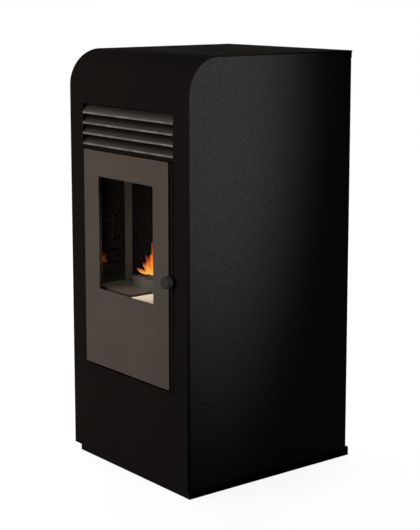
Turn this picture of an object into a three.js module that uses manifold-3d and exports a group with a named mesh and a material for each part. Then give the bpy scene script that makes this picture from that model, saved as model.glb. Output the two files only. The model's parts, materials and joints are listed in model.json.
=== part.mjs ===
// A free-standing pellet stove, in millimetres with +Z up.
// It is drawn in stove coordinates: X = 0 in the middle of the casing, Y = 0 on the front
// cover's face with +Y to the rear, Z = 0 on the floor. At the end the whole stove is moved
// along Y, so that its origin lies on the floor under the middle of its bounding box.

import * as THREE from 'three';
import { mergeVertices } from 'three/addons/utils/BufferGeometryUtils.js';
import { ConvexGeometry } from 'three/addons/geometries/ConvexGeometry.js';
import Module from 'manifold-3d';

const wasm = await Module();
wasm.setup();

// ---------------------------------------------------------------- driving dimensions

// Casing
const CASE_HEIGHT = 950;
const CASE_WIDTH = 440;
const CASE_DEPTH = 470;
const CORNER_RADIUS = 82; // where the front rolls back into the top
const SHEET = 2; // casing steel
const GAP = 0.3; // between pieces that seat on each other
const FRONT_RETURN = 7; // front cover's edge, folded round onto the side
const TOP_RETURN = 3; // the same edge along the top
const REAR_FLANGE = 15; // side panels and top, folded in at the back

// Base tray and feet
const BASE_HEIGHT = 22;
const BASE_LIFT = 2; // skirt above the floor
const BASE_PLATE = 3;
const BASE_SIDE_INSET = 9;
const BASE_FRONT_INSET = 12;
const BASE_REAR_REACH = 12; // past the casing's rear edge
const FOOT_RADIUS = 18;
const FOOT_PAD = 5;
const STUD_RADIUS = 5;
const STUD_REACH = 8; // stud above the tray
const NUT_RADIUS = 8;
const NUT_HEIGHT = 6;
const FOOT_SIDE_INSET = 39; // from the tray's edge to the stud
const FOOT_END_INSET = 43;

// Chassis plates
const CHASSIS_INSET = 32; // casing side to the plate's outer face
const CHASSIS_FLANGE = 22;
const CHASSIS_SHOULDER = 110; // below the top, where the plate steps back
const CHASSIS_STEP_BACK = 190; // how far back the upper part begins
const CHASSIS_WINDOW_MARGIN = 45;
const CHASSIS_WINDOW_TOP = 560;

// Opening in the front cover
const LEFT_STILE = 54;
const RIGHT_STILE = 47;
const TOP_BAND = 119;
const OPENING_BOTTOM = 230;

// Louvres
const FIN_COUNT = 4;
const FIN_PITCH = 23.3;
const FIRST_FIN_DROP = 21; // opening's top to the first lip's middle
const FIN_LIP_HEIGHT = 4;
const FIN_PROUD = 1; // lip in front of the cover
const FIN_RISE = 17;
const FIN_BACK = 10; // how far back the face leans
const FIN_THICKNESS = 2;
const LOUVRE_WALL = 3;
const LOUVRE_RAIL = 6.5;
const RAIL_DROP = 4; // last lip's middle to the rail
const RAIL_SETBACK = 1;

// Door
const PLATE_THICKNESS = 3;
const PLATE_LEFT_MARGIN = 6; // opening's edge to the plate
const PLATE_RIGHT_MARGIN = 14.4;
const PLATE_TOP_MARGIN = 1.6;
const PLATE_BOTTOM_MARGIN = 5;
const FRAME_LEFT_MARGIN = 4;
const FRAME_RIGHT_MARGIN = 2.5;
const FRAME_TOP_MARGIN = 2.6;
const FRAME_BOTTOM_MARGIN = 3;
const FRAME_BACK = 14;
const WINDOW_LEFT_MARGIN = 57; // plate's edge to the window
const WINDOW_RIGHT_MARGIN = 55.6;
const WINDOW_TOP_MARGIN = 57;
const SILL_DROP = 0.5; // window's lower edge below the hearth
const FRAME_REVEAL = 4; // frame's window is this much larger
const FRAME_SILL_REVEAL = 9.5;
const GLASS_OVERLAP = 10;
const GLASS_THICKNESS = 4;
const GLASS_PLAY = 1; // sideways, in its rebate
const REBATE_FRONT = 6;
const GASKET_THICKNESS = 1.7;
const GASKET_WIDTH = 8;
const SEAL_WIDTH = 8;
const SEAL_THICKNESS = 7.7;
const SEAL_CLEARANCE = 1; // mouth's edge to the rope
const HINGE_INSET = 13; // opening's edge to the pin
const HINGE_SETBACK = 6;
const PIN_RADIUS = 3;
const PIN_ENGAGEMENT = 12; // in the door frame
const BRACKET_THICKNESS = 4;
const BRACKET_WIDTH = 20;
const BRACKET_LEAF = 24;

// Knob and latch
const KNOB_RADIUS = 13.5;
const KNOB_LENGTH = 16;
const KNOB_CHAMFER = 2;
const KNOB_STANDOFF = 0.4; // in front of the plate
const KNOB_INSET = 6; // frame's edge to its axis
const KNOB_RISE = 60; // axis above the hearth
const SPINDLE_RADIUS = 3;
const SPINDLE_SOCKET = 12;
const FINGER_LENGTH = 15.5;
const FINGER_WIDTH = 10;
const FINGER_THICKNESS = 4;
const FINGER_STANDOFF = 0.6;
const CATCH_WIDTH = 11.5;
const CATCH_HEIGHT = 20;
const CATCH_FRONT = 8;
const CATCH_LEG = 3.5;

// Firebox
const CHAMBER_SIDE = 21; // opening's left edge to the side lining's face
const CHAMBER_BACK = 110;
const HEARTH_TOP = 414;
const LINING = 10;
const FIREBOX_WALL = 4;
const FLANGE_THICKNESS = 3;
const FLANGE_DROP = 4; // below the opening
const FIREBOX_FLOOR = 250;
const MOUTH_SILL = 6; // mouth above the firebox's floor
const MOUTH_TOP_DROP = 20; // mouth below the firebox's ceiling
const CEILING_DROP = 9.6; // below the louvre rail
const LINING_TOP_DROP = 30; // below the ceiling
const BAFFLE_THICKNESS = 5;
const BAFFLE_BACK_GAP = 18;
const GAS_OUTLET_HEIGHT = 16;
const GAS_OUTLET_DROP = 4;
const CORNER_LEG = 12;
const HEARTH_THICKNESS = 18;
const HEARTH_TONGUE_MARGIN = 9; // narrower than the chamber, to clear the swinging door
const LEDGE_WIDTH = 10;
const LEDGE_HEIGHT = 6;
const STEP_HALF_WIDTH = 90;
const STEP_FRONT = 79;
const STEP_HEIGHT = 21;
const TILE_LEFT = -4;
const TILE_RIGHT = 92;
const TILE_BACK = 78;
const TILE_THICKNESS = 4;
const TILE_SUNK = 5.5;
const POT_HALF_WIDTH = 40;
const POT_FRONT = 84;
const POT_BACK = 107;
const POT_WALL = 3;
const POT_RIM_RISE = 11; // above the step
const POT_COLLAR = 3;
const POT_DEPTH = 48;
const POT_HOLE_RADIUS = 2;
const POT_HOLE_COUNT = 5;
const IGNITER_RADIUS = 5;
const IGNITER_RISE = 10; // above the hearth
const IGNITER_END = 160;
const IGNITER_FLANGE = 12;
const PAN_SIDE_GAP = 10;
const PAN_HEIGHT = 68;
const PAN_WALL = 2;
const PAN_FRONT = 30;
const PAN_LIP = 12;

// Pellet feed
const AUGER_RISE = 186; // axis above the hearth
const AUGER_TUBE_RADIUS = 30;
const AUGER_TUBE_WALL = 3;
const AUGER_FRONT = 190;
const AUGER_REAR_SPACE = 95; // casing's rear edge to the tube's end
const AUGER_SHAFT_RADIUS = 8;
const AUGER_FLIGHT_RADIUS = 25.5;
const AUGER_PITCH = 40;
const FLIGHT_THICKNESS = 3;
const FLIGHT_ROOT = 1; // flight's inner edge inside the shaft
const FLIGHT_STEPS = 16; // straight stretches in one turn
const AUGER_PLATE = 3;
const AUGER_PLATE_HALF = 38;
const PORT_HALF_WIDTH = 26;
const PORT_LENGTH = 66;
const PORT_SPACE = 15; // port to the tube's rear end
const PORT_RISE = 0.7; // above the tube's crown
const GEARBOX_LENGTH = 30;
const MOTOR_RADIUS = 28;
const MOTOR_LENGTH = 47;
const SHAFT_SOCKET = 10;
const CHUTE_HALF_WIDTH = 28;
const CHUTE_WALL = 3;
const CHUTE_HALF_HEIGHT = 40;
const HOPPER_FRONT = 205;
const HOPPER_REAR_SPACE = 19; // casing's rear edge to the bin
const HOPPER_SHEET = 2;
const HOPPER_SLOPE_HEIGHT = 158;
const RIM_INSET = 20; // hopper mouth inside its wall
const RIM_FRONT_INSET = 17;
const RIM_REAR_INSET = 4;

// Lid in the top
const LID_SIDE_INSET = 45.5; // casing's side to the lid
const LID_SEAM = 1.5;
const LID_FRONT = 214.5;
const LID_REAR_SPACE = 18; // casing's rear edge to the lid
const LID_NOTCH_RADIUS = 12;
const BARREL_RADIUS = 3;
const LID_PIN_RADIUS = 1.5;
const BARREL_SETBACK = 3.5; // axis behind the lid's rear edge
const BARREL_DROP = 2.5; // axis below the top
const KNUCKLE_LENGTH = 5.5;
const BARREL_INSET = 8.5; // lid's side to the barrel's end

// Control panel in the top
const PANEL_FRONT = 120;
const PANEL_DEPTH = 65;
const PANEL_HALF_WIDTH = 74.5;
const PANEL_FLANGE = 6;
const PANEL_FLANGE_THICKNESS = 3;
const PANEL_WALL = 2.5;
const PANEL_HEIGHT = 15;
const PANEL_SEAM = 0.5;
const BUTTON_RADIUS = 7;
const BUTTON_PLAY = 0.4;
const BUTTON_PROUD = 1.5;
const BUTTON_TRAVEL = 1.5;
const BUTTON_SPACING = 20;
const BUTTON_FIRST = 20; // first button's middle, right of the centre
const BUTTON_STEM_RADIUS = 3;
const BUTTON_CAP = 5;

// Smoke path
const DUCT_WIDTH = 90;
const DUCT_SIDE_REACH = 5; // past the side lining's face
const DUCT_DEPTH = 57.4;
const DUCT_WALL = 3;
const DUCT_BOTTOM = 130;
const EXHAUST_SIDE_SPACE = 115; // casing's right side to the impeller's axis
const EXHAUST_Z = 180;
const EXHAUST_RADIUS = 62;
const EXHAUST_DEPTH = 53;
const EXHAUST_WALL = 3;
const EXHAUST_INLET_RADIUS = 30;
const EXHAUST_DUCT_HALF_HEIGHT = 42;
const EXHAUST_DUCT_END = -44;
const IMPELLER_RADIUS = 50;
const IMPELLER_DISC = 2;
const IMPELLER_BLADES = 8;
const IMPELLER_DEPTH = 32;
const IMPELLER_INNER = 22;
const IMPELLER_HUB = 8;
const BLADE_THICKNESS = 2;
const FAN_SHAFT_RADIUS = 4;
const EXHAUST_MOTOR_RADIUS = 36;
const EXHAUST_MOTOR_LENGTH = 62;
const FLUE_RADIUS = 40;
const FLUE_WALL = 2;
const FLUE_REACH = 45; // past the casing's rear edge
const INTAKE_RADIUS = 25;
const INTAKE_WALL = 2;
const INTAKE_SIDE_SPACE = 85; // left side lining's face to the pipe's axis
const INTAKE_Z = 290;
const INTAKE_REACH = 25;

// Room fan
const ROOM_FAN_SIDE_SPACE = 104; // casing's left side to the fan's middle
const ROOM_FAN_Y = 255;
const ROOM_FAN_Z = 110;
const ROOM_FAN_RADIUS = 60;
const ROOM_FAN_HALF_LENGTH = 48;
const ROOM_FAN_WALL = 2;
const ROOM_FAN_INLET = 42;
const ROOM_FAN_OUTLET_TOP = 200;
const ROOM_FAN_OUTLET_DEPTH = 55;
const ROTOR_RADIUS = 50;
const ROTOR_HALF_LENGTH = 38;
const ROTOR_RING = 6;
const ROTOR_RING_LENGTH = 3;
const ROTOR_BLADES = 12;
const ROTOR_BLADE_DEPTH = 8;
const BLADE_INSET = 1; // blade's outer edge inside the ring's rim
const ROTOR_HUB = 8;
const ROOM_MOTOR_RADIUS = 30;
const ROOM_MOTOR_LENGTH = 42;
const PEDESTAL_HALF_WIDTH = 36;
const PEDESTAL_HALF_DEPTH = 20;
const PEDESTAL_WALL = 3;

// Rear panel
const GRILLE_COUNT = 8;
const GRILLE_PITCH = 14;
const GRILLE_SLOT = 6;
const GRILLE_HEIGHT = 70;
const INLET_SIDE_SPACE = 40; // casing's right side to the inlet's edge
const INLET_WIDTH = 68;
const INLET_BOTTOM = 56;
const INLET_HEIGHT = 32;
const INLET_DEPTH = 24;
const INLET_FLANGE = 2;
const INLET_RIM = 5;
const SOCKET_WIDTH = 24;
const SOCKET_HEIGHT = 18;
const SOCKET_DEPTH = 15;
const SWITCH_WIDTH = 14;
const SWITCH_HEIGHT = 20;
const SWITCH_THICKNESS = 8;
const SWITCH_PLAY = 1; // rocker's ends inside its well
const SWITCH_TILT = THREE.MathUtils.degToRad(8);

// ---------------------------------------------------------------- places worked out

const sideX = CASE_WIDTH / 2;
const openingLeft = -sideX + LEFT_STILE;
const openingRight = sideX - RIGHT_STILE;
const openingTop = CASE_HEIGHT - TOP_BAND;
const coverBottom = BASE_HEIGHT + GAP;
const panelOuterX = sideX - SHEET - GAP;
const panelInnerX = panelOuterX - SHEET;
const panelRear = CASE_DEPTH - SHEET - GAP;
const rearPanelBack = panelRear - SHEET - GAP;
const rearPanelFront = rearPanelBack - SHEET;

const railTop = openingTop - FIRST_FIN_DROP - (FIN_COUNT - 1) * FIN_PITCH - RAIL_DROP;
const railBottom = railTop - LOUVRE_RAIL;

const frameLeft = openingLeft + FRAME_LEFT_MARGIN;
const frameRight = openingRight - FRAME_RIGHT_MARGIN;
const frameTop = railBottom - FRAME_TOP_MARGIN;
const frameBottom = OPENING_BOTTOM + FRAME_BOTTOM_MARGIN;
const plateLeft = openingLeft + PLATE_LEFT_MARGIN;
const plateRight = openingRight - PLATE_RIGHT_MARGIN;
const plateTop = railBottom - PLATE_TOP_MARGIN;
const plateBottom = OPENING_BOTTOM + PLATE_BOTTOM_MARGIN;
const windowLeft = plateLeft + WINDOW_LEFT_MARGIN;
const windowRight = plateRight - WINDOW_RIGHT_MARGIN;
const windowTop = plateTop - WINDOW_TOP_MARGIN;
const windowBottom = HEARTH_TOP - SILL_DROP;
const hingeX = openingLeft + HINGE_INSET;
const latchX = frameRight - KNOB_INSET;
const latchZ = HEARTH_TOP + KNOB_RISE;

const chamberHalf = -openingLeft - CHAMBER_SIDE;
const fireboxInner = chamberHalf + LINING + GAP;
const fireboxOuter = fireboxInner + FIREBOX_WALL;
const flangeFront = FRAME_BACK + SEAL_THICKNESS + 2 * GAP;
const flangeBack = flangeFront + FLANGE_THICKNESS;
const ceiling = railBottom - CEILING_DROP;
const mouthBottom = FIREBOX_FLOOR + MOUTH_SILL;
const mouthTop = ceiling - MOUTH_TOP_DROP;
const liningFront = flangeBack + GAP;
const liningBack = CHAMBER_BACK + LINING;
const liningBottom = HEARTH_TOP + GAP;
const liningTop = ceiling - LINING_TOP_DROP;
const fireboxBackInner = liningBack + GAP;
const fireboxBackOuter = fireboxBackInner + FIREBOX_WALL;
const hearthBottom = HEARTH_TOP - HEARTH_THICKNESS;
const hearthFront = FRAME_BACK + 2 * GAP;
const stepTop = HEARTH_TOP + STEP_HEIGHT;
const gasOutletTop = ceiling - GAS_OUTLET_DROP;
const gasOutletBottom = gasOutletTop - GAS_OUTLET_HEIGHT;

const chassisOuterX = sideX - CHASSIS_INSET;
const chassisInnerX = chassisOuterX - SHEET;
const chassisFront = flangeBack + GAP;

const augerZ = HEARTH_TOP + AUGER_RISE;
const augerRear = CASE_DEPTH - AUGER_REAR_SPACE;
const portBack = augerRear - PORT_SPACE;
const portFront = portBack - PORT_LENGTH;
const portTop = augerZ + AUGER_TUBE_RADIUS + PORT_RISE;
const chuteBack = AUGER_FRONT - GAP;
const hopperHalf = chassisInnerX - GAP;
const hopperRear = CASE_DEPTH - HOPPER_REAR_SPACE;
const hopperBottom = portTop + GAP;
const hopperShoulder = hopperBottom + HOPPER_SLOPE_HEIGHT;
const topUnderside = CASE_HEIGHT - SHEET;
const rimTop = topUnderside - GAP;
const rimBottom = rimTop - HOPPER_SHEET;

const lidHalf = sideX - LID_SIDE_INSET;
const barrelHalf = lidHalf - BARREL_INSET;
const lidRear = CASE_DEPTH - LID_REAR_SPACE;
const barrelY = lidRear + BARREL_SETBACK;
const barrelZ = CASE_HEIGHT - BARREL_DROP;

const ductRight = chamberHalf + DUCT_SIDE_REACH;
const ductLeft = ductRight - DUCT_WIDTH;
const ductFront = fireboxBackOuter + GAP;
const ductBack = ductFront + DUCT_DEPTH;
const exhaustX = sideX - EXHAUST_SIDE_SPACE;
const exhaustFront = ductBack + GAP;
const exhaustBack = exhaustFront + EXHAUST_DEPTH;
const flueFront = exhaustBack + GAP;
const flueRear = CASE_DEPTH + FLUE_REACH;
const knobFront = -PLATE_THICKNESS - KNOB_STANDOFF - KNOB_LENGTH;
const intakeX = -chamberHalf + INTAKE_SIDE_SPACE;

const roomFanX = -sideX + ROOM_FAN_SIDE_SPACE;
const inletRight = sideX - INLET_SIDE_SPACE;
const inletLeft = inletRight - INLET_WIDTH;

// ---------------------------------------------------------------- finishes

const FINISHES = {
  satinBlack: { color: 0x1b1815, roughness: 0.42, metalness: 0.2 },
  texturedBlack: { color: 0x2c2b2b, roughness: 0.7, metalness: 0.1 },
  taupe: { color: 0x484039, roughness: 0.5, metalness: 0.15 },
  steel: { color: 0x9a9a98, roughness: 0.35, metalness: 0.9 },
  zinc: { color: 0x8d9092, roughness: 0.45, metalness: 0.85 },
  castIron: { color: 0x2a2928, roughness: 0.75, metalness: 0.5 },
  hearthGrey: { color: 0x4b4845, roughness: 0.7, metalness: 0.3 },
  lining: { color: 0x0e0c0b, roughness: 0.3, metalness: 0.2 },
  paleTile: { color: 0xdcd4c4, roughness: 0.8, metalness: 0 },
  glass: { color: 0x1a1612, roughness: 0.05, metalness: 0 },
  rope: { color: 0x5a5751, roughness: 0.95, metalness: 0 },
  blackPlastic: { color: 0x151515, roughness: 0.5, metalness: 0 },
  rubber: { color: 0x101010, roughness: 0.9, metalness: 0 },
};

function finish(name) {
  return new THREE.MeshStandardMaterial(FINISHES[name]);
}

// ---------------------------------------------------------------- solids

const MANY_SIDES = 36;
const SOME_SIDES = 24;
const FEW_SIDES = 16;
const ARC_STEPS = 16;
const THROUGH = 10; // how far a cutter runs past the face that it leaves

function toSolid(geometry) {
  const bare = geometry.index ? geometry.clone() : geometry;
  bare.deleteAttribute('normal');
  bare.deleteAttribute('uv');
  const merged = mergeVertices(bare);
  return new wasm.Manifold(new wasm.Mesh({
    numProp: 3,
    vertProperties: new Float32Array(merged.attributes.position.array),
    triVerts: new Uint32Array(merged.index.array),
  }));
}

function toGeometry(solid) {
  const mesh = solid.getMesh();
  const geometry = new THREE.BufferGeometry();
  geometry.setAttribute('position', new THREE.BufferAttribute(mesh.vertProperties, 3));
  geometry.setIndex(new THREE.BufferAttribute(mesh.triVerts, 1));
  const flat = geometry.toNonIndexed();
  flat.computeVertexNormals();
  return flat;
}

function block([x0, x1], [y0, y1], [z0, z1]) {
  const geometry = new THREE.BoxGeometry(x1 - x0, y1 - y0, z1 - z0);
  geometry.translate((x0 + x1) / 2, (y0 + y1) / 2, (z0 + z1) / 2);
  return toSolid(geometry);
}

// A block on one side of the stove: side is 1 for right and -1 for left.
function sideBlock(side, [inner, outer], rangeY, rangeZ) {
  const rangeX = [side * inner, side * outer].sort((a, b) => a - b);
  return block(rangeX, rangeY, rangeZ);
}

function sidesFor(radius) {
  if (radius >= 20) {
    return MANY_SIDES;
  }
  return radius >= 8 ? SOME_SIDES : FEW_SIDES;
}

// Round bars along each axis, from one place along it to another.
function rodX(y, z, radius, from, to) {
  const geometry = new THREE.CylinderGeometry(radius, radius, to - from, sidesFor(radius));
  geometry.rotateZ(-Math.PI / 2);
  geometry.translate((from + to) / 2, y, z);
  return toSolid(geometry);
}

function rodY(x, z, radius, from, to) {
  const geometry = new THREE.CylinderGeometry(radius, radius, to - from, sidesFor(radius));
  geometry.translate(x, (from + to) / 2, z);
  return toSolid(geometry);
}

function rodZ(x, y, radius, from, to) {
  const geometry = new THREE.CylinderGeometry(radius, radius, to - from, sidesFor(radius));
  geometry.rotateX(Math.PI / 2);
  geometry.translate(x, y, (from + to) / 2);
  return toSolid(geometry);
}

// A side-view outline, with Y and Z as its two coordinates, carried along X.
function alongX(shape, from, to, curveSegments = ARC_STEPS) {
  const settings = { depth: to - from, bevelEnabled: false, curveSegments };
  const geometry = new THREE.ExtrudeGeometry(shape, settings);
  const sideways = new THREE.Matrix4().makeBasis(
    new THREE.Vector3(0, 1, 0),
    new THREE.Vector3(0, 0, 1),
    new THREE.Vector3(1, 0, 0),
  );
  geometry.applyMatrix4(sideways);
  geometry.translate(from, 0, 0);
  return toSolid(geometry);
}

function polygon(points) {
  return new THREE.Shape(points.map(([y, z]) => new THREE.Vector2(y, z)));
}

// The casing seen from the side: straight front, round corner, flat top.
function casingOutline(frontInset, topInset, bottom, rear) {
  const top = CASE_HEIGHT - topInset;
  const radius = CORNER_RADIUS - (frontInset + topInset) / 2;
  const outline = new THREE.Shape();
  outline.moveTo(frontInset, bottom);
  outline.lineTo(frontInset, top - radius);
  outline.absarc(frontInset + radius, top - radius, radius, Math.PI, Math.PI / 2, true);
  outline.lineTo(rear, top);
  outline.lineTo(rear, bottom);
  outline.closePath();
  return outline;
}

// A flat ring standing upright, between two places along Y.
function uprightRing([left, right], [bottom, top], border, rangeY) {
  const outer = block([left, right], rangeY, [bottom, top]);
  const inner = block(
    [left + border, right - border],
    [rangeY[0] - THROUGH, rangeY[1] + THROUGH],
    [bottom + border, top - border],
  );
  return outer.subtract(inner);
}

function joinAll(solids) {
  return solids.reduce((whole, solid) => whole.add(solid));
}

function piece(group, name, solid, finishName) {
  const mesh = new THREE.Mesh(toGeometry(solid), finish(finishName));
  mesh.name = name;
  group.add(mesh);
  return mesh;
}

// ---------------------------------------------------------------- base

const baseFront = BASE_FRONT_INSET;
const baseRear = CASE_DEPTH + BASE_REAR_REACH;
const baseSide = sideX - BASE_SIDE_INSET;
const studX = baseSide - FOOT_SIDE_INSET;
const studFront = baseFront + FOOT_END_INSET;
const studRear = baseRear - FOOT_END_INSET;

function buildBaseTray() {
  const outer = block([-baseSide, baseSide], [baseFront, baseRear], [BASE_LIFT, BASE_HEIGHT]);
  const hollow = block(
    [-baseSide + SHEET, baseSide - SHEET],
    [baseFront + SHEET, baseRear - SHEET],
    [BASE_LIFT - THROUGH, BASE_HEIGHT - BASE_PLATE],
  );
  let tray = outer.subtract(hollow);
  for (const x of [-studX, studX]) {
    for (const y of [studFront, studRear]) {
      tray = tray.subtract(rodZ(x, y, STUD_RADIUS + GAP, 0, BASE_HEIGHT + THROUGH));
    }
  }
  return tray;
}

// A levelling foot, standing on its own middle: pad, neck, nut under the tray and stud.
function buildFoot() {
  const nutTop = BASE_HEIGHT - BASE_PLATE - GAP;
  const profile = [
    [0, 0],
    [FOOT_RADIUS, 0],
    [FOOT_RADIUS, FOOT_PAD],
    [STUD_RADIUS, FOOT_PAD + SHEET],
    [STUD_RADIUS, nutTop - NUT_HEIGHT],
    [NUT_RADIUS, nutTop - NUT_HEIGHT],
    [NUT_RADIUS, nutTop],
    [STUD_RADIUS, nutTop],
    [STUD_RADIUS, BASE_HEIGHT + STUD_REACH],
    [0, BASE_HEIGHT + STUD_REACH],
  ];
  const points = profile.map(([radius, height]) => new THREE.Vector2(radius, height));
  const geometry = new THREE.LatheGeometry(points, FEW_SIDES);
  geometry.rotateX(Math.PI / 2);
  return toSolid(geometry);
}

function buildChassisPlate(side) {
  const across = [chassisInnerX, chassisOuterX];
  const rear = hopperRear;
  const shoulder = CASE_HEIGHT - CHASSIS_SHOULDER;
  const lower = sideBlock(side, across, [chassisFront, rear], [coverBottom, shoulder]);
  const upperTop = rimBottom - GAP;
  const upper = sideBlock(side, across, [CHASSIS_STEP_BACK, rear], [shoulder - SHEET, upperTop]);
  const frontFlange = sideBlock(
    side,
    [chassisOuterX - CHASSIS_FLANGE, chassisOuterX],
    [chassisFront, chassisFront + SHEET],
    [coverBottom, shoulder],
  );
  const footFlange = sideBlock(
    side,
    [chassisInnerX, chassisOuterX + REAR_FLANGE],
    [chassisFront, rear],
    [coverBottom, coverBottom + SHEET],
  );
  const window = sideBlock(
    side,
    [chassisInnerX - THROUGH, chassisOuterX + THROUGH],
    [chassisFront + CHASSIS_WINDOW_MARGIN, rear - CHASSIS_WINDOW_MARGIN],
    [coverBottom + CHASSIS_WINDOW_MARGIN, CHASSIS_WINDOW_TOP],
  );
  return joinAll([lower, upper, frontFlange, footFlange]).subtract(window);
}

// ---------------------------------------------------------------- casing

const panelRearEdge = PANEL_FRONT + PANEL_DEPTH;

function buildFrontTopCover() {
  const shell = alongX(casingOutline(0, 0, coverBottom, CASE_DEPTH), -sideX, sideX);
  const low = coverBottom - THROUGH;
  const past = CASE_DEPTH + THROUGH;
  const cavity = alongX(casingOutline(SHEET, SHEET, low, past), -sideX + SHEET, sideX - SHEET);
  const sides = alongX(
    casingOutline(FRONT_RETURN, TOP_RETURN, low, past),
    -sideX - THROUGH,
    sideX + THROUGH,
  );
  const frontOpening = block(
    [openingLeft, openingRight],
    [-THROUGH, SHEET + THROUGH],
    [OPENING_BOTTOM, openingTop],
  );
  const throughTop = [topUnderside - THROUGH, CASE_HEIGHT + THROUGH];
  const lidOpening = block(
    [-lidHalf - LID_SEAM, lidHalf + LID_SEAM],
    [LID_FRONT - LID_SEAM, barrelY + BARREL_RADIUS + PANEL_SEAM],
    throughTop,
  );
  const panelOpening = block(
    [-PANEL_HALF_WIDTH - PANEL_SEAM, PANEL_HALF_WIDTH + PANEL_SEAM],
    [PANEL_FRONT - PANEL_SEAM, panelRearEdge + PANEL_SEAM],
    throughTop,
  );
  const rearFlange = block(
    [-panelInnerX, panelInnerX],
    [CASE_DEPTH - SHEET, CASE_DEPTH],
    [topUnderside - REAR_FLANGE, CASE_HEIGHT - SHEET / 2],
  );
  return shell
    .subtract(cavity)
    .subtract(sides)
    .add(rearFlange)
    .subtract(frontOpening)
    .subtract(lidOpening)
    .subtract(panelOpening);
}

function buildSidePanel(side) {
  const inset = SHEET + GAP;
  const outline = casingOutline(inset, inset, coverBottom, panelRear);
  const [from, to] = side > 0 ? [panelInnerX, panelOuterX] : [-panelOuterX, -panelInnerX];
  const flange = sideBlock(
    side,
    [panelInnerX - REAR_FLANGE, panelOuterX],
    [panelRear - SHEET, panelRear],
    [coverBottom, topUnderside - REAR_FLANGE - GAP],
  );
  return alongX(outline, from, to).add(flange);
}

const inletMiddleZ = INLET_BOTTOM + INLET_HEIGHT / 2;

function buildRearPanel() {
  const half = panelInnerX - GAP;
  const across = [rearPanelFront - THROUGH, rearPanelBack + THROUGH];
  let panel = block([-half, half], [rearPanelFront, rearPanelBack], [coverBottom, rimTop]);
  panel = panel.subtract(rodY(0, EXHAUST_Z, FLUE_RADIUS + GAP, ...across));
  panel = panel.subtract(rodY(intakeX, INTAKE_Z, INTAKE_RADIUS + GAP, ...across));
  panel = panel.subtract(block(
    [inletLeft + INLET_RIM - GAP, inletRight - INLET_RIM + GAP],
    across,
    [INLET_BOTTOM + INLET_RIM - GAP, INLET_BOTTOM + INLET_HEIGHT - INLET_RIM + GAP],
  ));
  const grilleLeft = roomFanX - (GRILLE_COUNT - 1) * GRILLE_PITCH / 2;
  for (let slot = 0; slot < GRILLE_COUNT; slot += 1) {
    const x = grilleLeft + slot * GRILLE_PITCH;
    panel = panel.subtract(block(
      [x - GRILLE_SLOT / 2, x + GRILLE_SLOT / 2],
      across,
      [ROOM_FAN_Z - GRILLE_HEIGHT / 2, ROOM_FAN_Z + GRILLE_HEIGHT / 2],
    ));
  }
  return panel;
}

// ---------------------------------------------------------------- louvres

function hingeHole(from, to) {
  return rodZ(hingeX, HINGE_SETBACK, PIN_RADIUS + GAP, from, to);
}

function buildLouvreFrame() {
  const front = SHEET + GAP;
  const back = chassisFront - GAP;
  const outer = block(
    [openingLeft - LOUVRE_WALL, openingRight + LOUVRE_WALL],
    [front, back],
    [railBottom, openingTop + LOUVRE_WALL],
  );
  const inner = block(
    [openingLeft, openingRight],
    [front - THROUGH, back + THROUGH],
    [railTop, openingTop],
  );
  const rail = block(
    [openingLeft + GAP, openingRight - GAP],
    [RAIL_SETBACK, back],
    [railBottom, railTop],
  );
  const pinHole = hingeHole(railBottom - THROUGH, railTop + THROUGH);
  return outer.subtract(inner).add(rail).subtract(pinHole);
}

// A fin about its lip's middle: an upright lip in front, then a face that leans back and up.
function buildFin() {
  const half = FIN_LIP_HEIGHT / 2;
  const outline = polygon([
    [-FIN_PROUD, -half],
    [-FIN_PROUD, half],
    [FIN_BACK, FIN_RISE],
    [FIN_BACK + FIN_THICKNESS, FIN_RISE],
    [FIN_THICKNESS - FIN_PROUD, -half],
  ]);
  return alongX(outline, openingLeft + GAP, openingRight - GAP);
}

// ---------------------------------------------------------------- door

function buildDoorPlate() {
  const plate = block([plateLeft, plateRight], [-PLATE_THICKNESS, 0], [plateBottom, plateTop]);
  const window = block(
    [windowLeft, windowRight],
    [-PLATE_THICKNESS - THROUGH, THROUGH],
    [windowBottom, windowTop],
  );
  return plate.subtract(window);
}

const frameWindowX = [windowLeft - FRAME_REVEAL, windowRight + FRAME_REVEAL];
const frameWindowZ = [windowBottom - FRAME_SILL_REVEAL, windowTop + FRAME_REVEAL];
const glassX = [frameWindowX[0] - GLASS_OVERLAP, frameWindowX[1] + GLASS_OVERLAP];
const glassZ = [frameWindowZ[0] - GLASS_OVERLAP, frameWindowZ[1] + GLASS_OVERLAP];

function buildDoorFrame() {
  const across = [GAP - THROUGH, FRAME_BACK + THROUGH];
  const slab = block([frameLeft, frameRight], [GAP, FRAME_BACK], [frameBottom, frameTop]);
  const rebate = block(
    [glassX[0] - GLASS_PLAY, glassX[1] + GLASS_PLAY],
    [REBATE_FRONT, FRAME_BACK + THROUGH],
    [glassZ[0] - GLASS_PLAY, glassZ[1] + GLASS_PLAY],
  );
  return slab
    .subtract(block(frameWindowX, across, frameWindowZ))
    .subtract(rebate)
    .subtract(rodY(latchX, latchZ, SPINDLE_RADIUS + GAP, ...across))
    .subtract(hingeHole(frameTop - PIN_ENGAGEMENT - GAP, frameTop + THROUGH))
    .subtract(hingeHole(frameBottom - THROUGH, frameBottom + PIN_ENGAGEMENT + GAP));
}

const gasketFront = REBATE_FRONT + GAP;
const glassFront = gasketFront + GASKET_THICKNESS + GAP;

function buildDoorSeal() {
  const half = chamberHalf + SEAL_CLEARANCE + SEAL_WIDTH;
  const reach = SEAL_CLEARANCE + SEAL_WIDTH;
  const front = FRAME_BACK + GAP;
  return uprightRing(
    [-half, half],
    [mouthBottom - reach, mouthTop + reach],
    SEAL_WIDTH,
    [front, front + SEAL_THICKNESS],
  );
}

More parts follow.
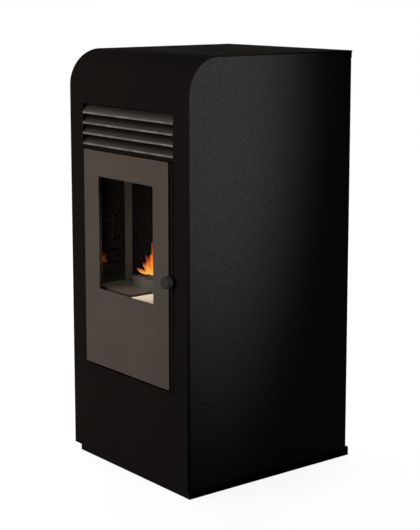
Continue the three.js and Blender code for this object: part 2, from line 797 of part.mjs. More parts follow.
function buildHingeBracket() {
  const top = frameBottom - GAP;
  const tab = block(
    [hingeX - BRACKET_WIDTH / 2, hingeX + BRACKET_WIDTH / 2],
    [SHEET + GAP, flangeFront - GAP],
    [OPENING_BOTTOM - BRACKET_THICKNESS, top - GAP],
  );
  const leaf = block(
    [hingeX - BRACKET_WIDTH / 2, hingeX + BRACKET_WIDTH / 2],
    [flangeFront - GAP - SHEET, flangeFront - GAP],
    [OPENING_BOTTOM - BRACKET_LEAF, OPENING_BOTTOM],
  );
  const hole = hingeHole(OPENING_BOTTOM - BRACKET_THICKNESS - THROUGH, top + THROUGH);
  return tab.add(leaf).subtract(hole);
}

function buildKnob() {
  const back = -PLATE_THICKNESS - KNOB_STANDOFF;
  const profile = [
    [0, knobFront],
    [KNOB_RADIUS - KNOB_CHAMFER, knobFront],
    [KNOB_RADIUS, knobFront + KNOB_CHAMFER],
    [KNOB_RADIUS, back - KNOB_CHAMFER],
    [KNOB_RADIUS - KNOB_CHAMFER, back],
    [0, back],
  ];
  const points = profile.map(([radius, y]) => new THREE.Vector2(radius, y));
  const geometry = new THREE.LatheGeometry(points, SOME_SIDES);
  geometry.translate(latchX, 0, latchZ);
  const socket = rodY(latchX, latchZ, SPINDLE_RADIUS + GAP, back - SPINDLE_SOCKET, back + THROUGH);
  return toSolid(geometry).subtract(socket);
}

// The spindle runs from the knob through the door frame, with the finger on its rear end.
function buildLatchSpindle() {
  const front = -PLATE_THICKNESS - KNOB_STANDOFF - SPINDLE_SOCKET + GAP;
  const fingerFront = FRAME_BACK + FINGER_STANDOFF;
  const fingerBack = fingerFront + FINGER_THICKNESS;
  const shaft = rodY(latchX, latchZ, SPINDLE_RADIUS, front, fingerBack);
  const hub = rodY(latchX, latchZ, FINGER_WIDTH / 2, fingerFront, fingerBack);
  const finger = block(
    [latchX - FINGER_WIDTH / 2, latchX + FINGER_WIDTH / 2],
    [fingerFront, fingerBack],
    [latchZ, latchZ + FINGER_LENGTH],
  );
  return joinAll([shaft, hub, finger]);
}

// ---------------------------------------------------------------- firebox

// The drop chute slopes at 45 degrees from the auger down through the firebox's back.
function chuteSlab(grow, from, to) {
  const high = augerZ + CHUTE_HALF_HEIGHT + grow;
  const low = augerZ - CHUTE_HALF_HEIGHT - grow;
  const fall = (y) => chuteBack - y;
  const outline = polygon([
    [to, high - fall(to)],
    [from, high - fall(from)],
    [from, low - fall(from)],
    [to, low - fall(to)],
  ]);
  return alongX(outline, -CHUTE_HALF_WIDTH - grow, CHUTE_HALF_WIDTH + grow);
}

const igniterZ = HEARTH_TOP + IGNITER_RISE;

function buildFirebox() {
  const body = block(
    [-fireboxOuter, fireboxOuter],
    [flangeFront, fireboxBackOuter],
    [FIREBOX_FLOOR - FIREBOX_WALL, ceiling + FIREBOX_WALL],
  );
  const flange = block(
    [-chassisInnerX, chassisInnerX],
    [flangeFront, flangeBack],
    [OPENING_BOTTOM - FLANGE_DROP, plateTop],
  );
  const chamber = block(
    [-fireboxInner, fireboxInner],
    [flangeBack, fireboxBackInner],
    [FIREBOX_FLOOR, ceiling],
  );
  const mouth = block(
    [-chamberHalf, chamberHalf],
    [flangeFront - THROUGH, flangeBack + THROUGH],
    [mouthBottom, mouthTop],
  );
  const ledgeTop = hearthBottom - GAP;
  const ledges = [1, -1].map((side) => sideBlock(
    side,
    [fireboxInner - LEDGE_WIDTH, fireboxOuter],
    [flangeBack, fireboxBackOuter],
    [ledgeTop - LEDGE_HEIGHT, ledgeTop],
  ));
  const catchLeft = openingRight + GAP;
  const catchX = [catchLeft, catchLeft + CATCH_WIDTH];
  const catchZ = [latchZ - CATCH_HEIGHT / 2, latchZ + CATCH_HEIGHT / 2];
  const catchPlate = block(catchX, [CATCH_FRONT, FRAME_BACK], catchZ);
  const catchLeg = block([catchX[1] - CATCH_LEG, catchX[1]], [CATCH_FRONT, flangeBack], catchZ);
  const through = [fireboxBackInner - GAP, fireboxBackOuter + THROUGH];
  const gasOutlet = block(
    [ductLeft + DUCT_WALL + SHEET, chamberHalf],
    through,
    [gasOutletBottom, gasOutletTop],
  );
  return joinAll([body, flange])
    .subtract(chamber)
    .subtract(mouth)
    .add(joinAll([...ledges, catchPlate, catchLeg]))
    .subtract(gasOutlet)
    .subtract(chuteSlab(2 * GAP, ...through))
    .subtract(rodY(intakeX, INTAKE_Z, INTAKE_RADIUS - INTAKE_WALL, ...through))
    .subtract(rodY(0, igniterZ, IGNITER_RADIUS + GAP, ...through));
}

function buildHearthPlate() {
  const slabHalf = chamberHalf + LINING;
  const slabZ = [hearthBottom, HEARTH_TOP];
  const slab = block([-slabHalf, slabHalf], [liningFront, liningBack], slabZ);
  const tongueHalf = chamberHalf - HEARTH_TONGUE_MARGIN;
  const tongue = block([-tongueHalf, tongueHalf], [hearthFront, liningFront + GAP], slabZ);
  const step = block(
    [-STEP_HALF_WIDTH, STEP_HALF_WIDTH],
    [STEP_FRONT, CHAMBER_BACK - GAP],
    [hearthBottom, stepTop],
  );
  const tileSeat = block(
    [TILE_LEFT - GAP, TILE_RIGHT + GAP],
    [hearthFront - THROUGH, TILE_BACK + GAP],
    [HEARTH_TOP - TILE_SUNK - TILE_THICKNESS - GAP, HEARTH_TOP + THROUGH],
  );
  const potSeat = block(
    [-POT_HALF_WIDTH - GAP, POT_HALF_WIDTH + GAP],
    [POT_FRONT - GAP, POT_BACK + GAP],
    [hearthBottom - THROUGH, stepTop + THROUGH],
  );
  const igniterHole = rodY(0, igniterZ, IGNITER_RADIUS + GAP, POT_BACK, CHAMBER_BACK + THROUGH);
  return joinAll([slab, tongue, step]).subtract(tileSeat).subtract(potSeat).subtract(igniterHole);
}

function buildHearthTile() {
  const top = HEARTH_TOP - TILE_SUNK;
  return block(
    [TILE_LEFT, TILE_RIGHT],
    [hearthFront, TILE_BACK],
    [top - TILE_THICKNESS, top],
  );
}

function buildBackLining() {
  const inside = chamberHalf - GAP;
  const through = [CHAMBER_BACK - THROUGH, liningBack + THROUGH];
  return block([-inside, inside], [CHAMBER_BACK, liningBack], [liningBottom, liningTop])
    .subtract(chuteSlab(2 * GAP, ...through))
    .subtract(rodY(0, igniterZ, IGNITER_RADIUS + GAP, ...through));
}

function buildSideLining(side) {
  return sideBlock(
    side,
    [chamberHalf, chamberHalf + LINING],
    [liningFront, liningBack],
    [liningBottom, liningTop],
  );
}

// A three-sided strip that fills the chamber's rear corner.
function buildCornerStrip(side) {
  const wall = side * (chamberHalf - GAP);
  const back = CHAMBER_BACK - GAP;
  const corners = [[wall, back], [wall, back - CORNER_LEG], [wall - side * CORNER_LEG, back]];
  const points = [];
  for (const [x, y] of corners) {
    points.push(new THREE.Vector3(x, y, liningBottom));
    points.push(new THREE.Vector3(x, y, liningTop));
  }
  return toSolid(new ConvexGeometry(points));
}

function buildBaffle() {
  const bottom = liningTop + GAP;
  return block(
    [-chamberHalf - LINING, chamberHalf + LINING],
    [liningFront, CHAMBER_BACK - BAFFLE_BACK_GAP],
    [bottom, bottom + BAFFLE_THICKNESS],
  );
}

function buildBurnPot() {
  const top = stepTop + POT_RIM_RISE;
  const bottom = top - POT_DEPTH;
  const outer = block([-POT_HALF_WIDTH, POT_HALF_WIDTH], [POT_FRONT, POT_BACK], [bottom, top]);
  const collar = block(
    [-POT_HALF_WIDTH - POT_COLLAR, POT_HALF_WIDTH + POT_COLLAR],
    [POT_FRONT - POT_COLLAR, POT_BACK],
    [stepTop + GAP, stepTop + GAP + POT_COLLAR],
  );
  const hollow = block(
    [-POT_HALF_WIDTH + POT_WALL, POT_HALF_WIDTH - POT_WALL],
    [POT_FRONT + POT_WALL, POT_BACK - POT_WALL],
    [bottom + POT_WALL, top + THROUGH],
  );
  let pot = outer.add(collar).subtract(hollow);
  pot = pot.subtract(rodY(0, igniterZ, IGNITER_RADIUS, POT_BACK - 2 * POT_WALL, POT_BACK + THROUGH));
  const pitch = 2 * (POT_HALF_WIDTH - POT_WALL) / POT_HOLE_COUNT;
  const middle = (POT_FRONT + POT_BACK) / 2;
  for (let hole = 0; hole < POT_HOLE_COUNT; hole += 1) {
    const x = (hole - (POT_HOLE_COUNT - 1) / 2) * pitch;
    pot = pot.subtract(rodZ(x, middle, POT_HOLE_RADIUS, bottom - THROUGH, bottom + THROUGH));
  }
  return pot;
}

function buildIgniter() {
  const tube = rodY(0, igniterZ, IGNITER_RADIUS, POT_BACK + GAP, IGNITER_END);
  const collarFront = fireboxBackOuter + GAP;
  const collar = rodY(0, igniterZ, IGNITER_FLANGE, collarFront, collarFront + POT_COLLAR);
  return tube.add(collar);
}

function buildAshPan() {
  const half = chamberHalf - PAN_SIDE_GAP;
  const bottom = FIREBOX_FLOOR + GAP;
  const top = bottom + PAN_HEIGHT;
  const back = CHAMBER_BACK;
  const outer = block([-half, half], [PAN_FRONT, back], [bottom, top]);
  const hollow = block(
    [-half + PAN_WALL, half - PAN_WALL],
    [PAN_FRONT + PAN_WALL, back - PAN_WALL],
    [bottom + PAN_WALL, top + THROUGH],
  );
  const lip = block(
    [-half / 2, half / 2],
    [PAN_FRONT - PAN_LIP, PAN_FRONT + PAN_WALL],
    [top - 2 * PAN_WALL, top],
  );
  return outer.subtract(hollow).add(lip);
}

// ---------------------------------------------------------------- pellet feed

function buildChute() {
  const outer = chuteSlab(0, CHAMBER_BACK, chuteBack);
  return outer.subtract(chuteSlab(-CHUTE_WALL, CHAMBER_BACK - THROUGH, chuteBack + THROUGH));
}

// A four-sided funnel stretch between a lower and an upper rectangle.
function funnel(lower, upper) {
  const points = [];
  for (const { x, y, z } of [lower, upper]) {
    for (const cornerX of x) {
      for (const cornerY of y) {
        points.push(new THREE.Vector3(cornerX, cornerY, z));
      }
    }
  }
  return toSolid(new ConvexGeometry(points));
}

function buildHopper() {
  const wall = HOPPER_SHEET;
  const outletX = [-PORT_HALF_WIDTH - wall, PORT_HALF_WIDTH + wall];
  const outletY = [portFront - wall, portBack + wall];
  const binX = [-hopperHalf, hopperHalf];
  const binY = [HOPPER_FRONT, hopperRear];
  const inset = ([low, high], by) => [low + by, high - by];
  const outerFunnel = funnel(
    { x: outletX, y: outletY, z: hopperBottom },
    { x: binX, y: binY, z: hopperShoulder },
  );
  const innerFunnel = funnel(
    { x: inset(outletX, wall), y: inset(outletY, wall), z: hopperBottom },
    { x: inset(binX, wall), y: inset(binY, wall), z: hopperShoulder },
  );
  const outletHole = block(
    inset(outletX, wall),
    inset(outletY, wall),
    [hopperBottom - THROUGH, hopperBottom + wall],
  );
  const bin = block(binX, binY, [hopperShoulder, rimTop]);
  const binHollow = block(inset(binX, wall), inset(binY, wall), [hopperShoulder, rimBottom]);
  const mouth = block(
    inset(binX, RIM_INSET),
    [HOPPER_FRONT + RIM_FRONT_INSET, hopperRear - RIM_REAR_INSET],
    [rimBottom - wall, rimTop + THROUGH],
  );
  const rim = block(
    [-chassisOuterX, chassisOuterX],
    [HOPPER_FRONT - wall, hopperRear],
    [rimBottom, rimTop],
  );
  const knuckles = [1, -1].map((side) => sideBlock(
    side,
    [barrelHalf + GAP, barrelHalf + GAP + KNUCKLE_LENGTH],
    [hopperRear - wall, barrelY + BARREL_RADIUS],
    [barrelZ - BARREL_RADIUS - wall, CASE_HEIGHT],
  ));
  const pinHole = rodX(barrelY, barrelZ, LID_PIN_RADIUS + GAP, -chassisOuterX, chassisOuterX);
  return joinAll([outerFunnel, bin, rim, ...knuckles])
    .subtract(joinAll([innerFunnel, outletHole, binHollow, mouth]))
    .subtract(pinHole);
}

function buildLid() {
  const notchedFrom = hopperRear - 2 * HOPPER_SHEET - GAP;
  const across = [topUnderside, CASE_HEIGHT];
  const plate = block([-lidHalf, lidHalf], [LID_FRONT, notchedFrom], across);
  const leaf = block([-barrelHalf, barrelHalf], [LID_FRONT + THROUGH, barrelY], across);
  const barrel = rodX(barrelY, barrelZ, BARREL_RADIUS, -barrelHalf, barrelHalf);
  const bore = rodX(
    barrelY,
    barrelZ,
    LID_PIN_RADIUS + GAP,
    -barrelHalf - THROUGH,
    barrelHalf + THROUGH,
  );
  const fingerNotch = rodZ(
    0,
    LID_FRONT,
    LID_NOTCH_RADIUS,
    topUnderside - THROUGH,
    CASE_HEIGHT + THROUGH,
  );
  return joinAll([plate, leaf, barrel]).subtract(bore).subtract(fingerNotch);
}

function buildAugerTube() {
  const radius = AUGER_TUBE_RADIUS;
  const boreRadius = radius - AUGER_TUBE_WALL;
  const tube = rodY(0, augerZ, radius, AUGER_FRONT, augerRear);
  const wall = HOPPER_SHEET;
  const feedBox = block(
    [-PORT_HALF_WIDTH - wall, PORT_HALF_WIDTH + wall],
    [portFront - wall, portBack + wall],
    [augerZ, portTop],
  );
  const endPlate = block(
    [-AUGER_PLATE_HALF, AUGER_PLATE_HALF],
    [augerRear - AUGER_PLATE, augerRear],
    [augerZ - AUGER_PLATE_HALF, augerZ + AUGER_PLATE_HALF],
  );
  const bore = rodY(0, augerZ, boreRadius, AUGER_FRONT - THROUGH, augerRear - AUGER_PLATE);
  const port = block(
    [-PORT_HALF_WIDTH, PORT_HALF_WIDTH],
    [portFront, portBack],
    [augerZ, portTop + THROUGH],
  );
  const shaftHole = rodY(
    0,
    augerZ,
    AUGER_SHAFT_RADIUS + GAP,
    augerRear - THROUGH,
    augerRear + THROUGH,
  );
  return joinAll([tube, feedBox, endPlate]).subtract(bore).subtract(port).subtract(shaftHole);
}

// A helical band along Y: four corners of its section at each step round the shaft.
function screwFlight(inner, outer, thickness, pitch, length) {
  const steps = Math.round(length / pitch * FLIGHT_STEPS);
  const section = [[inner, 0], [outer, 0], [outer, thickness], [inner, thickness]];
  const positions = [];
  const triangles = [];
  for (let step = 0; step <= steps; step += 1) {
    const angle = 2 * Math.PI * step / FLIGHT_STEPS;
    const along = pitch * step / FLIGHT_STEPS;
    for (const [radius, offset] of section) {
      positions.push(radius * Math.cos(angle), along + offset, radius * Math.sin(angle));
    }
  }
  const count = section.length;
  for (let step = 0; step < steps; step += 1) {
    for (let corner = 0; corner < count; corner += 1) {
      const here = step * count + corner;
      const next = step * count + (corner + 1) % count;
      triangles.push(here, next, here + count);
      triangles.push(next, next + count, here + count);
    }
  }
  const last = steps * count;
  triangles.push(0, 2, 1, 0, 3, 2);
  triangles.push(last, last + 1, last + 2, last, last + 2, last + 3);
  const geometry = new THREE.BufferGeometry();
  geometry.setAttribute('position', new THREE.Float32BufferAttribute(positions, 3));
  geometry.setIndex(triangles);
  return geometry;
}

function buildAugerScrew() {
  const front = AUGER_FRONT + AUGER_PLATE;
  const rear = augerRear - AUGER_PLATE - FLIGHT_THICKNESS - THROUGH;
  const shaft = rodY(0, augerZ, AUGER_SHAFT_RADIUS, front, augerRear + SHAFT_SOCKET);
  const flight = screwFlight(
    AUGER_SHAFT_RADIUS - FLIGHT_ROOT,
    AUGER_FLIGHT_RADIUS,
    FLIGHT_THICKNESS,
    AUGER_PITCH,
    rear - front - FLIGHT_THICKNESS,
  );
  flight.translate(0, front + FLIGHT_THICKNESS, augerZ);
  return shaft.add(toSolid(flight));
}

function buildAugerMotor() {
  const front = augerRear + GAP;
  const gearbox = block(
    [-AUGER_PLATE_HALF, AUGER_PLATE_HALF],
    [front, front + GEARBOX_LENGTH],
    [augerZ - AUGER_PLATE_HALF, augerZ + AUGER_PLATE_HALF],
  );
  const motorFront = front + GEARBOX_LENGTH;
  const can = rodY(0, augerZ, MOTOR_RADIUS, motorFront - SHEET, motorFront + MOTOR_LENGTH);
  const socket = rodY(0, augerZ, AUGER_SHAFT_RADIUS + GAP, front - THROUGH, front + SHAFT_SOCKET + GAP);
  return gearbox.add(can).subtract(socket);
}

// ---------------------------------------------------------------- smoke path

function buildSmokeDuct() {
  const top = ceiling + FIREBOX_WALL;
  const outer = block([ductLeft, ductRight], [ductFront, ductBack], [DUCT_BOTTOM, top]);
  const hollow = block(
    [ductLeft + DUCT_WALL, ductRight - DUCT_WALL],
    [ductFront + DUCT_WALL, ductBack - DUCT_WALL],
    [DUCT_BOTTOM + DUCT_WALL, top - DUCT_WALL],
  );
  const inlet = block(
    [ductLeft + DUCT_WALL + SHEET, chamberHalf],
    [ductFront - THROUGH, ductFront + DUCT_WALL + GAP],
    [gasOutletBottom, gasOutletTop],
  );
  const outlet = rodY(
    exhaustX,
    EXHAUST_Z,
    EXHAUST_INLET_RADIUS,
    ductBack - DUCT_WALL - GAP,
    ductBack + THROUGH,
  );
  return outer.subtract(hollow).subtract(inlet).subtract(outlet);
}

function exhaustShell(front, back, shrink) {
  const drum = rodY(exhaustX, EXHAUST_Z, EXHAUST_RADIUS - shrink, front, back);
  const sidewaysDuct = block(
    [EXHAUST_DUCT_END + shrink, exhaustX],
    [front, back],
    [EXHAUST_Z - EXHAUST_DUCT_HALF_HEIGHT + shrink, EXHAUST_Z + EXHAUST_DUCT_HALF_HEIGHT - shrink],
  );
  return drum.add(sidewaysDuct);
}

function buildExhaustHousing() {
  const wall = EXHAUST_WALL;
  const atFront = [exhaustFront - THROUGH, exhaustFront + wall + GAP];
  const atBack = [exhaustBack - wall - GAP, exhaustBack + THROUGH];
  return exhaustShell(exhaustFront, exhaustBack, 0)
    .subtract(exhaustShell(exhaustFront + wall, exhaustBack - wall, wall))
    .subtract(rodY(exhaustX, EXHAUST_Z, EXHAUST_INLET_RADIUS, ...atFront))
    .subtract(rodY(exhaustX, EXHAUST_Z, FAN_SHAFT_RADIUS + GAP, ...atBack))
    .subtract(rodY(0, EXHAUST_Z, FLUE_RADIUS - FLUE_WALL, ...atBack));
}

const impellerBack = exhaustBack - EXHAUST_WALL - SHEET;

// The impeller about its own shaft: a disc with straight blades in front and a bored hub.
function buildImpeller() {
  const disc = rodY(0, 0, IMPELLER_RADIUS, -IMPELLER_DISC, 0);
  const hub = rodY(0, 0, IMPELLER_HUB, -IMPELLER_DEPTH, 0);
  const blades = [];
  for (let blade = 0; blade < IMPELLER_BLADES; blade += 1) {
    const length = IMPELLER_RADIUS - IMPELLER_INNER;
    const geometry = new THREE.BoxGeometry(length, IMPELLER_DEPTH, BLADE_THICKNESS);
    geometry.translate(IMPELLER_INNER + length / 2, -IMPELLER_DEPTH / 2, 0);
    geometry.rotateY(2 * Math.PI * blade / IMPELLER_BLADES);
    blades.push(toSolid(geometry));
  }
  const bore = rodY(0, 0, FAN_SHAFT_RADIUS + GAP, -IMPELLER_DEPTH - THROUGH, THROUGH);
  return joinAll([disc, hub, ...blades]).subtract(bore);
}

function buildExhaustMotor() {
  const front = exhaustBack + GAP;
  const can = rodY(exhaustX, EXHAUST_Z, EXHAUST_MOTOR_RADIUS, front, front + EXHAUST_MOTOR_LENGTH);
  const shaftFront = impellerBack - IMPELLER_DEPTH + SHEET;
  return can.add(rodY(exhaustX, EXHAUST_Z, FAN_SHAFT_RADIUS, shaftFront, front + SHEET));
}

function buildPipe(x, z, radius, wall, from, to) {
  return rodY(x, z, radius, from, to)
    .subtract(rodY(x, z, radius - wall, from - THROUGH, to + THROUGH));
}

// ---------------------------------------------------------------- room fan

// The blower about its own shaft: a drum with an upward outlet and a pedestal under it.
function roomFanShell(shrink, outletTop) {
  const half = ROOM_FAN_HALF_LENGTH - shrink;
  const radius = ROOM_FAN_RADIUS - shrink;
  const drum = rodX(0, 0, radius, -half, half);
  const outlet = block(
    [-half, half],
    [-ROOM_FAN_RADIUS + shrink, -ROOM_FAN_RADIUS + ROOM_FAN_OUTLET_DEPTH - shrink],
    [0, outletTop],
  );
  return drum.add(outlet);
}

function buildRoomFanHousing() {
  const outletTop = ROOM_FAN_OUTLET_TOP - ROOM_FAN_Z;
  const floorZ = coverBottom - ROOM_FAN_Z;
  const halfWidth = PEDESTAL_HALF_WIDTH;
  const halfDepth = PEDESTAL_HALF_DEPTH;
  const pedestalTop = -ROOM_FAN_RADIUS / 2;
  const pedestal = block([-halfWidth, halfWidth], [-halfDepth, halfDepth], [floorZ, pedestalTop])
    .subtract(block(
      [-halfWidth + PEDESTAL_WALL, halfWidth - PEDESTAL_WALL],
      [-halfDepth - THROUGH, halfDepth + THROUGH],
      [floorZ - THROUGH, -ROOM_FAN_RADIUS - PEDESTAL_WALL],
    ));
  const end = ROOM_FAN_HALF_LENGTH;
  const inlet = rodX(0, 0, ROOM_FAN_INLET, end - ROOM_FAN_WALL - GAP, end + THROUGH);
  const shaftHole = rodX(0, 0, FAN_SHAFT_RADIUS + GAP, -end - THROUGH, -end + ROOM_FAN_WALL + GAP);
  return joinAll([roomFanShell(0, outletTop), pedestal])
    .subtract(roomFanShell(ROOM_FAN_WALL, outletTop + THROUGH))
    .subtract(inlet)
    .subtract(shaftHole);
}

function buildRoomFanRotor() {
  const half = ROTOR_HALF_LENGTH;
  const ringFrom = half - ROTOR_RING_LENGTH;
  const ring = rodX(0, 0, ROTOR_RADIUS, ringFrom, half)
    .subtract(rodX(0, 0, ROTOR_RADIUS - ROTOR_RING, ringFrom - THROUGH, half + THROUGH));
  const disc = rodX(0, 0, ROTOR_RADIUS, -half, -half + ROTOR_RING_LENGTH);
  const hub = rodX(0, 0, ROTOR_HUB, -half, 0);
  const blades = [];
  for (let blade = 0; blade < ROTOR_BLADES; blade += 1) {
    const geometry = new THREE.BoxGeometry(2 * half, ROTOR_BLADE_DEPTH, BLADE_THICKNESS);
    geometry.translate(0, ROTOR_RADIUS - ROTOR_BLADE_DEPTH / 2 - BLADE_INSET, 0);
    geometry.rotateX(2 * Math.PI * blade / ROTOR_BLADES);
    blades.push(toSolid(geometry));
  }
  const bore = rodX(0, 0, FAN_SHAFT_RADIUS + GAP, -half - THROUGH, half);
  return joinAll([disc, hub, ring, ...blades]).subtract(bore);
}

function buildRoomFanMotor() {
  const end = -ROOM_FAN_HALF_LENGTH - GAP;
  const can = rodX(0, 0, ROOM_MOTOR_RADIUS, end - ROOM_MOTOR_LENGTH, end);
  return can.add(rodX(0, 0, FAN_SHAFT_RADIUS, end - SHEET, -SHEET));
}

// ---------------------------------------------------------------- controls

const buttonNames = ['button_power', 'button_up', 'button_down'];
const panelMiddle = PANEL_FRONT + PANEL_DEPTH / 2;

function buttonX(index) {
  return BUTTON_FIRST + index * BUTTON_SPACING;
}

function buildControlPanel() {
  const flangeTop = topUnderside - GAP;
  const rangeX = [-PANEL_HALF_WIDTH, PANEL_HALF_WIDTH];
  const rangeY = [PANEL_FRONT, panelRearEdge];
  const grow = ([low, high], by) => [low - by, high + by];
  const bezel = block(rangeX, rangeY, [CASE_HEIGHT - PANEL_HEIGHT, CASE_HEIGHT]);
  const flange = block(
    grow(rangeX, PANEL_FLANGE),
    grow(rangeY, PANEL_FLANGE),
    [flangeTop - PANEL_FLANGE_THICKNESS, flangeTop],
  );
  const hollow = block(
    grow(rangeX, -PANEL_WALL),
    grow(rangeY, -PANEL_WALL),
    [CASE_HEIGHT - PANEL_HEIGHT - THROUGH, CASE_HEIGHT - PANEL_WALL],
  );
  let panel = bezel.add(flange).subtract(hollow);
  buttonNames.forEach((name, index) => {
    const radius = BUTTON_RADIUS + BUTTON_PLAY;
    const low = CASE_HEIGHT - PANEL_HEIGHT;
    panel = panel.subtract(rodZ(buttonX(index), panelMiddle, radius, low, CASE_HEIGHT + THROUGH));
  });
  return panel;
}

// A button about the panel's surface: its cap stands proud and its stem hangs below.
function buildButton() {
  const cap = rodZ(0, 0, BUTTON_RADIUS, BUTTON_PROUD - BUTTON_CAP, BUTTON_PROUD);
  return cap.add(rodZ(0, 0, BUTTON_STEM_RADIUS, BUTTON_TRAVEL - PANEL_HEIGHT, 0));
}

const switchX = inletRight - INLET_RIM - SHEET - SWITCH_WIDTH / 2 - GAP;
const switchY = rearPanelBack + GAP + INLET_FLANGE;

function buildPowerInlet() {
  const back = switchY;
  const top = INLET_BOTTOM + INLET_HEIGHT;
  const flange = block([inletLeft, inletRight], [back - INLET_FLANGE, back], [INLET_BOTTOM, top]);
  const body = block(
    [inletLeft + INLET_RIM, inletRight - INLET_RIM],
    [back - INLET_DEPTH, back],
    [INLET_BOTTOM + INLET_RIM, top - INLET_RIM],
  );
  const socketLeft = inletLeft + INLET_RIM + SHEET;
  const socket = block(
    [socketLeft, socketLeft + SOCKET_WIDTH],
    [back - SOCKET_DEPTH, back + THROUGH],
    [inletMiddleZ - SOCKET_HEIGHT / 2, inletMiddleZ + SOCKET_HEIGHT / 2],
  );
  const well = block(
    [switchX - SWITCH_WIDTH / 2 - GAP, switchX + SWITCH_WIDTH / 2 + GAP],
    [back - SOCKET_DEPTH, back + THROUGH],
    [inletMiddleZ - SWITCH_HEIGHT / 2 - GAP, inletMiddleZ + SWITCH_HEIGHT / 2 + GAP],
  );
  return flange.add(body).subtract(socket).subtract(well);
}

// The rocker about its pivot.
function buildRocker() {
  return block(
    [-SWITCH_WIDTH / 2, SWITCH_WIDTH / 2],
    [-SWITCH_THICKNESS / 2, SWITCH_THICKNESS / 2],
    [-SWITCH_HEIGHT / 2 + SWITCH_PLAY, SWITCH_HEIGHT / 2 - SWITCH_PLAY],
  );
}

// ---------------------------------------------------------------- the stove

function buildBase(stove) {
  const base = new THREE.Group();
  piece(base, 'base_tray', buildBaseTray(), 'satinBlack');
  const corners = {
    foot_front_left: [-studX, studFront],
    foot_front_right: [studX, studFront],
    foot_rear_left: [-studX, studRear],
    foot_rear_right: [studX, studRear],
  };
  for (const [name, [x, y]] of Object.entries(corners)) {
    piece(base, name, buildFoot(), 'rubber').position.set(x, y, 0);
  }
  piece(base, 'chassis_left', buildChassisPlate(-1), 'zinc');
  piece(base, 'chassis_right', buildChassisPlate(1), 'zinc');
  stove.add(base);
}

function buildCasing(stove) {
  const casing = new THREE.Group();
  piece(casing, 'front_top_cover', buildFrontTopCover(), 'satinBlack');
  piece(casing, 'side_panel_left', buildSidePanel(-1), 'texturedBlack');
  piece(casing, 'side_panel_right', buildSidePanel(1), 'texturedBlack');
  piece(casing, 'rear_panel', buildRearPanel(), 'texturedBlack');
  piece(casing, 'louvre_frame', buildLouvreFrame(), 'satinBlack');
  for (let fin = 0; fin < FIN_COUNT; fin += 1) {
    const z = openingTop - FIRST_FIN_DROP - fin * FIN_PITCH;
    piece(casing, `louvre_fin_${fin + 1}`, buildFin(), 'taupe').position.z = z;
  }
  stove.add(casing);
}

function buildDoor(stove) {
  const door = new THREE.Group();
  piece(door, 'door_plate', buildDoorPlate(), 'taupe');
  piece(door, 'door_frame', buildDoorFrame(), 'satinBlack');
  const gasketRange = [gasketFront, gasketFront + GASKET_THICKNESS];
  piece(door, 'glass_gasket', uprightRing(glassX, glassZ, GASKET_WIDTH, gasketRange), 'rope');
  const glass = block(glassX, [glassFront, glassFront + GLASS_THICKNESS], glassZ);
  piece(door, 'door_glass', glass, 'glass');
  piece(door, 'door_seal', buildDoorSeal(), 'rope');
  piece(door, 'door_knob', buildKnob(), 'blackPlastic');
  piece(door, 'latch_spindle', buildLatchSpindle(), 'steel');
  piece(door, 'hinge_bracket', buildHingeBracket(), 'satinBlack');
  const topPin = rodZ(hingeX, HINGE_SETBACK, PIN_RADIUS, frameTop - PIN_ENGAGEMENT, railTop);
  piece(door, 'hinge_pin_top', topPin, 'steel');
  const pinBottom = OPENING_BOTTOM - BRACKET_THICKNESS;
  const bottomPin = rodZ(hingeX, HINGE_SETBACK, PIN_RADIUS, pinBottom, frameBottom + PIN_ENGAGEMENT);
  piece(door, 'hinge_pin_bottom', bottomPin, 'steel');
  stove.add(door);
}

function buildFireboxGroup(stove) {
  const firebox = new THREE.Group();
  piece(firebox, 'firebox_body', buildFirebox(), 'castIron');
  piece(firebox, 'hearth_plate', buildHearthPlate(), 'hearthGrey');
  piece(firebox, 'hearth_tile', buildHearthTile(), 'paleTile');
  piece(firebox, 'lining_back', buildBackLining(), 'lining');
  piece(firebox, 'lining_left', buildSideLining(-1), 'lining');
  piece(firebox, 'lining_right', buildSideLining(1), 'lining');
  piece(firebox, 'corner_strip_left', buildCornerStrip(-1), 'hearthGrey');
  piece(firebox, 'corner_strip_right', buildCornerStrip(1), 'hearthGrey');
  piece(firebox, 'baffle', buildBaffle(), 'castIron');
  piece(firebox, 'burn_pot', buildBurnPot(), 'castIron');
  piece(firebox, 'igniter', buildIgniter(), 'steel');
  piece(firebox, 'ash_pan', buildAshPan(), 'zinc');
  stove.add(firebox);
}

function buildPelletFeed(stove) {
  const feed = new THREE.Group();
  piece(feed, 'pellet_chute', buildChute(), 'castIron');
  piece(feed, 'hopper', buildHopper(), 'zinc');
  piece(feed, 'hopper_lid', buildLid(), 'satinBlack');
  const pinEnd = barrelHalf + GAP + KNUCKLE_LENGTH;
  piece(feed, 'lid_hinge_pin', rodX(barrelY, barrelZ, LID_PIN_RADIUS, -pinEnd, pinEnd), 'steel');
  piece(feed, 'auger_tube', buildAugerTube(), 'zinc');
  piece(feed, 'auger_screw', buildAugerScrew(), 'steel');
  piece(feed, 'auger_motor', buildAugerMotor(), 'zinc');
  stove.add(feed);
}

